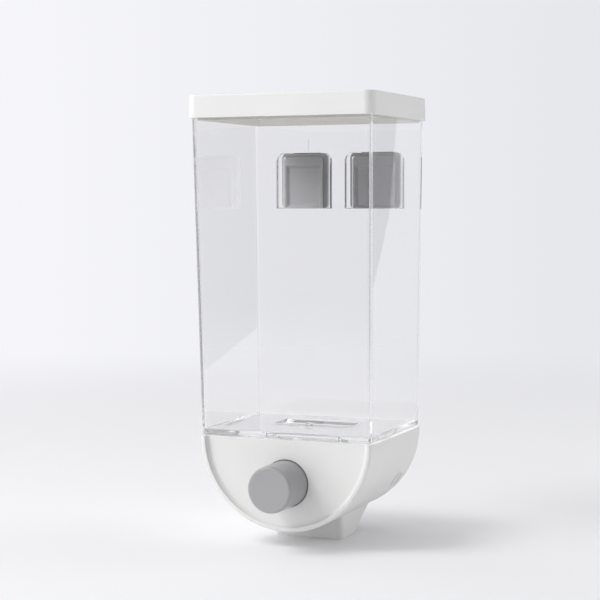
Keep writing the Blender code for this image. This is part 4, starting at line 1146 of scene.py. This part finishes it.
def pad(name, side, body, node):
    look = hookSizes
    low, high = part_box(node)
    bounds = grown(hookBounds(side, look["plateInset"], 0), -look["padInset"])
    view = roundedRectangle(*bounds, look["plateCorner"], look["steps"])
    piece = loft(name, [upright(view, low.y), upright(view, high.y)])
    dressed(rounded(piece, gap / 2, look["padSteps"]), foamPad, body, [node])


hook("leftHook", -1, "left_hook", "hook_left")
hook("rightHook", 1, "right_hook", "hook_right")
pad("leftPad", -1, "left_hook", "pad_left")
pad("rightPad", 1, "right_hook", "pad_right")
print("hooks made")


# Base

baseLook = {"wall": 0.0022, "rim": 0.0028, "rimRound": 0.0015, "rimInnerRound": 0.0003, "recess": 0.0028,
            "hollow": 0.0024, "panel": 0.0022, "hole": 0.01425, "holeRound": 0.0005, "holeSink": 0.9,
            "steps": 112, "holeSteps": 96, "hollowSteps": 8, "innerSteps": 3, "rimSteps": 6, "edgeSteps": 5,
            "coverSteps": 3}
spoutLook = {"halfWidth": 0.0226, "frontInset": 0.0516, "footDepth": 0.0211, "slope": 1.81, "wall": 0.0020,
             "corner": 0.0040, "backCorner": 0.0015, "shoulderRise": 0.0046, "footRound": 0.0004, "steps": 10,
             "footSteps": 3}
postLook = {"radius": 0.0032, "sideInset": 0.0126, "frontInset": 0.01255, "backInset": 0.0090,
            "coverRadius": 0.0046, "coverLength": 0.0080, "coverBite": 0.0008, "highDegrees": 18.0,
            "lowDegrees": 46.0, "hole": 0.0014, "holeDepth": 0.0065, "head": 0.0024, "headDepth": 0.0016,
            "steps": 32}
baseRadius = (baseHigh.x - baseLow.x) / 2
innerRadius = baseRadius - baseLook["wall"]
panelFront = baseLow.y + baseLook["recess"]
panelBack = panelFront + baseLook["panel"]
coverFace = wallSide - gap - baseLook["wall"]


def baseOutside():
    look = baseLook
    recess = baseRadius - look["rim"]
    inner = look["rimInnerRound"]
    outer = look["rimRound"]
    profile = [(0, panelFront)]
    profile += arc(recess - look["hollow"], panelFront - look["hollow"], look["hollow"], 90, 0,
                   look["hollowSteps"])
    profile += arc(recess + inner, baseLow.y + inner, inner, 180, 270, look["innerSteps"])
    profile += arc(baseRadius - outer, baseLow.y + outer, outer, 270, 360, look["rimSteps"])
    profile += [(baseRadius, wallSide), (0, wallSide)]
    return moved(lathe("base", profile, look["steps"], half=True), (0, 0, baseHigh.z))


def spoutBack(height):
    return wallSide - spoutLook["frontInset"] + spoutLook["footDepth"] + height * spoutLook["slope"]


def spoutRing(height, backAt, inset, backInset, corner, backCorner):
    look = spoutLook
    front = wallSide - look["frontInset"]
    half = look["halfWidth"] - inset
    back = spoutBack(backAt) - backInset
    return level(roundedRectangle(-half, half, front + inset, back, corner, look["steps"], backCorner), height)


def spoutOutside():
    look = spoutLook
    shoulder = baseHigh.z - baseRadius + look["shoulderRise"]
    rings = []
    for inset, rise in reversed(quarter(look["footRound"], look["footSteps"])):
        height = look["footRound"] - rise
        rings.append(spoutRing(height, height, inset, inset, look["corner"] - inset, look["backCorner"] - inset))
    rings.append(spoutRing(shoulder, shoulder, 0, 0, look["corner"], look["backCorner"]))
    rings.append(spoutRing(shoulder + baseLook["wall"], shoulder, 0, 0, look["corner"], look["backCorner"]))
    return loft("spoutOutside", rings)


def spoutInside():
    look = spoutLook
    backInset = look["wall"] * math.hypot(1, look["slope"])
    bend = baseHigh.z - innerRadius + baseLook["wall"]
    corner = look["corner"] - look["wall"]
    below, above = -look["wall"], bend + 2 * baseLook["wall"]
    rings = [spoutRing(height, backAt, look["wall"], backInset, corner, look["backCorner"])
             for height, backAt in ((below, below), (bend, bend), (above, bend))]
    return loft("spoutInside", rings)


markLook = {"degrees": 35.0, "y": 0.0352, "radius": 0.0056, "width": 0.0008, "rise": 0.0005, "steps": 64}


def sideMark():
    # Plain raised ring moulded on the right side, bent round the drum
    look = markLook
    inner, outer = look["radius"] - look["width"], look["radius"]
    profile = [(inner, -gap), (inner, look["rise"]), (outer, look["rise"]), (outer, -gap)]
    ring = lathe("mark", profile, look["steps"])
    for corner in ring.data.vertices:
        around, height, run = corner.co
        angle = math.radians(look["degrees"]) + around / baseRadius
        radius = baseRadius + height
        corner.co = (radius * math.cos(angle), look["y"] + run, baseHigh.z - radius * math.sin(angle))
    shape = bmeshOf(ring.data)
    bpy.data.objects.remove(ring)
    return objectFrom("mark", shape)


def deckPosts():
    half = innerRadius - postLook["sideInset"]
    front = baseLow.y + postLook["frontInset"]
    return [(side * half, y) for y in (front, wallSide - postLook["backInset"]) for side in (-1, 1)]


def coverPosts():
    radius = innerRadius - postLook["coverRadius"] + postLook["coverBite"]
    places = []
    for degrees in (postLook["highDegrees"], postLook["lowDegrees"]):
        angle = math.radians(degrees)
        places += [(side * radius * math.cos(angle), baseHigh.z - radius * math.sin(angle)) for side in (-1, 1)]
    return places


def rod(name, radius, low, high):
    return lathe(name, [(0, low), (radius, low), (radius, high), (0, high)], postLook["steps"])


def baseCavity():
    # The hollow inside, less the posts, with the screws' holes in them
    look, wall = postLook, baseLook["wall"]
    points = [(innerRadius, baseHigh.z + wall), (-innerRadius, baseHigh.z + wall)]
    points += arc(0, baseHigh.z, innerRadius, 180, 360, baseLook["steps"] - 3)
    cavity = loft("cavity", [upright(points, panelBack), upright(points, wallSide + wall)])
    for x, y in deckPosts():
        place = (x, y, 0)
        shaped(cavity, stood(rod("post", look["radius"], -deckFoot + gap, wall), place))
        hole = rod("pilot", look["hole"], -deckFoot, -deckFoot + look["holeDepth"])
        shaped(cavity, stood(hole, place), "UNION")
    end = coverFace - gap
    for x, z in coverPosts():
        place = (x, 0, z)
        shaped(cavity, moved(rod("post", look["coverRadius"], end - look["coverLength"], end), place))
        shaped(cavity, moved(rod("pilot", look["hole"], end - look["holeDepth"], end + gap), place), "UNION")
    return cavity


def base():
    look = baseLook
    piece = baseOutside()
    hole, rounding = look["hole"], look["holeRound"]
    profile = [(0, baseLow.y), (hole + rounding, baseLow.y)]
    profile += arc(hole + rounding, panelFront + rounding * look["holeSink"], rounding, 270, 180,
                   look["edgeSteps"])
    profile += [(hole, panelBack + look["wall"]), (0, panelBack + look["wall"])]
    shaped(piece, moved(lathe("hole", profile, look["holeSteps"]), (0, 0, buttonAxis)))
    shaped(piece, spoutOutside(), "UNION")
    shaped(piece, sideMark(), "UNION")
    shaped(piece, baseCavity())
    shaped(piece, spoutInside())
    return dressed(piece, whitePlastic, "dispenser", ["base_shell"])


def backCover():
    look = postLook
    outer, face = innerRadius - gap, wallSide - gap
    profile = [(0, coverFace), (outer, coverFace)]
    profile += arc(outer - gap, face - gap, gap, 0, 90, baseLook["coverSteps"])
    profile.append((0, face))
    piece = moved(lathe("backCover", profile, baseLook["steps"] - 1, half=True), (0, 0, baseHigh.z))
    for x, z in coverPosts():
        shaped(piece, moved(rod("hole", look["hole"], coverFace - gap, wallSide), (x, 0, z)))
        shaped(piece, moved(rod("head", look["head"], face - look["headDepth"], wallSide), (x, 0, z)))
    return dressed(piece, whitePlastic, "dispenser", ["back_cover"])


base()
backCover()
print("base made")


# Button

buttonLook = {"round": 0.0017, "wall": 0.0018, "boss": 0.0042, "bossInset": 0.0097, "hole": 0.0014,
              "dish": 0.0002, "dishShare": 0.55, "footRound": 0.0003, "steps": 96,
              "roundSteps": 10, "footSteps": 3}


def button():
    look = buttonLook
    radius = (capHigh.x - capLow.x) / 2
    face, foot = capLow.y, capHigh.y
    rounding = look["round"]
    inside = face + look["wall"]
    inner = radius - look["wall"]
    share = look["dishShare"]
    profile = [(0, face + look["dish"]), (radius * share, face + look["dish"] * share)]
    profile += arc(radius - rounding, face + rounding, rounding, 270, 360, look["roundSteps"])
    bend = look["footRound"]
    profile += arc(radius - bend, foot - bend, bend, 0, 90, look["footSteps"])
    bossFoot, hole, holeEnd = foot - look["bossInset"], look["hole"], inside + look["wall"]
    profile += [(inner, foot), (inner, inside), (look["boss"], inside), (look["boss"], bossFoot),
                (hole, bossFoot), (hole, holeEnd), (0, holeEnd)]
    piece = moved(lathe("buttonCap", profile, look["steps"]), (0, 0, buttonAxis))
    return dressed(piece, greyPlastic, "button", ["button_cap"])


springLook = {"radius": 0.0050, "wire": 0.0005, "turns": 9.0, "travel": 0.0130, "fixedEnd": -0.0007, "steps": 44}


def spring():
    look = springLook
    low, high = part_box("return_spring")
    settings = {"Radius": look["radius"], "Wire Radius": look["wire"], "Turns": look["turns"],
                "Length": high.y - low.y - 2 * look["wire"], "Start": (0, low.y + look["wire"], buttonAxis),
                "Steps": look["steps"]}
    piece = grownBy(wireSpring, "pressSpring", settings, springSteel)
    dressed(piece, springSteel, "dispenser", ["return_spring"])
    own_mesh(piece)


screwLook = {"Head Radius": 0.0021, "Head Height": 0.0013, "Shank Radius": 0.0011, "Slot Width": 0.0006,
             "Slot Length": 0.0028, "Slot Depth": 0.0007, "Pitch": 0.0009}
screwKinds = {"deck": {"length": 0.0080, "heading": (0, 0, 1)},
              "tray": {"length": 0.0082, "heading": (0, 0, -1)},
              "cover": {"length": 0.0080, "heading": (0, 1, 0)},
              "button_screw": {"length": 0.0170, "heading": (0, 1, 0)},
              "gate": {"length": 0.0037, "heading": (0, 0, 1)}}


def screwSet(name, kinds, body):
    # Every screw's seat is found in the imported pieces' boxes: the head's underside, on the shank's line
    shape = bmesh.new()
    nodes = []
    for kind in kinds:
        look = screwKinds[kind]
        heading = Vector(look["heading"])
        seats = []
        for node in sorted(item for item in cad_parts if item.startswith(kind) and "screw" in item):
            low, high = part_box(node)
            seats.append((low + high) / 2 + heading * (look["length"] - screwLook["Head Height"]) / 2)
            nodes.append(node)
        made = grownBy(crossScrews, kind, dict(screwLook, Length=look["length"]), screwSteel, seats, heading)
        shape.from_mesh(made.data)
        bpy.data.objects.remove(made)
    dressed(objectFrom(name, shape), screwSteel, body, nodes)


button()
spring()
screwSet("dispenserScrews", ("deck", "tray", "cover"), "dispenser")
screwSet("buttonScrews", ("button_screw", "gate"), "button")
seal("tankGasket", "tank_gasket", sealLook["tankSection"], sealLook["corner"], "dispenser")
seal("throatSeal", "throat_seal", sealLook["throatSection"], sealLook["corner"], "dispenser")
edgeSteps = 2
innerWorks = {"hopper": ("dispenser", hopperPlastic, 0.00025),
              "outlet_chute": ("dispenser", innerPlastic, 0.0002),
              "gate_tray": ("dispenser", innerPlastic, 0.0002),
              "gate_plate": ("button", innerPlastic, 0.0002),
              "button_plunger": ("button", innerPlastic, 0.0002)}
for nodeName, (body, finish, edge) in innerWorks.items():
    piece = refined(nodeName + "_fine", nodeName, edge, edgeSteps)
    dressed(piece, finish, body, [nodeName])
print("button and inner works made")
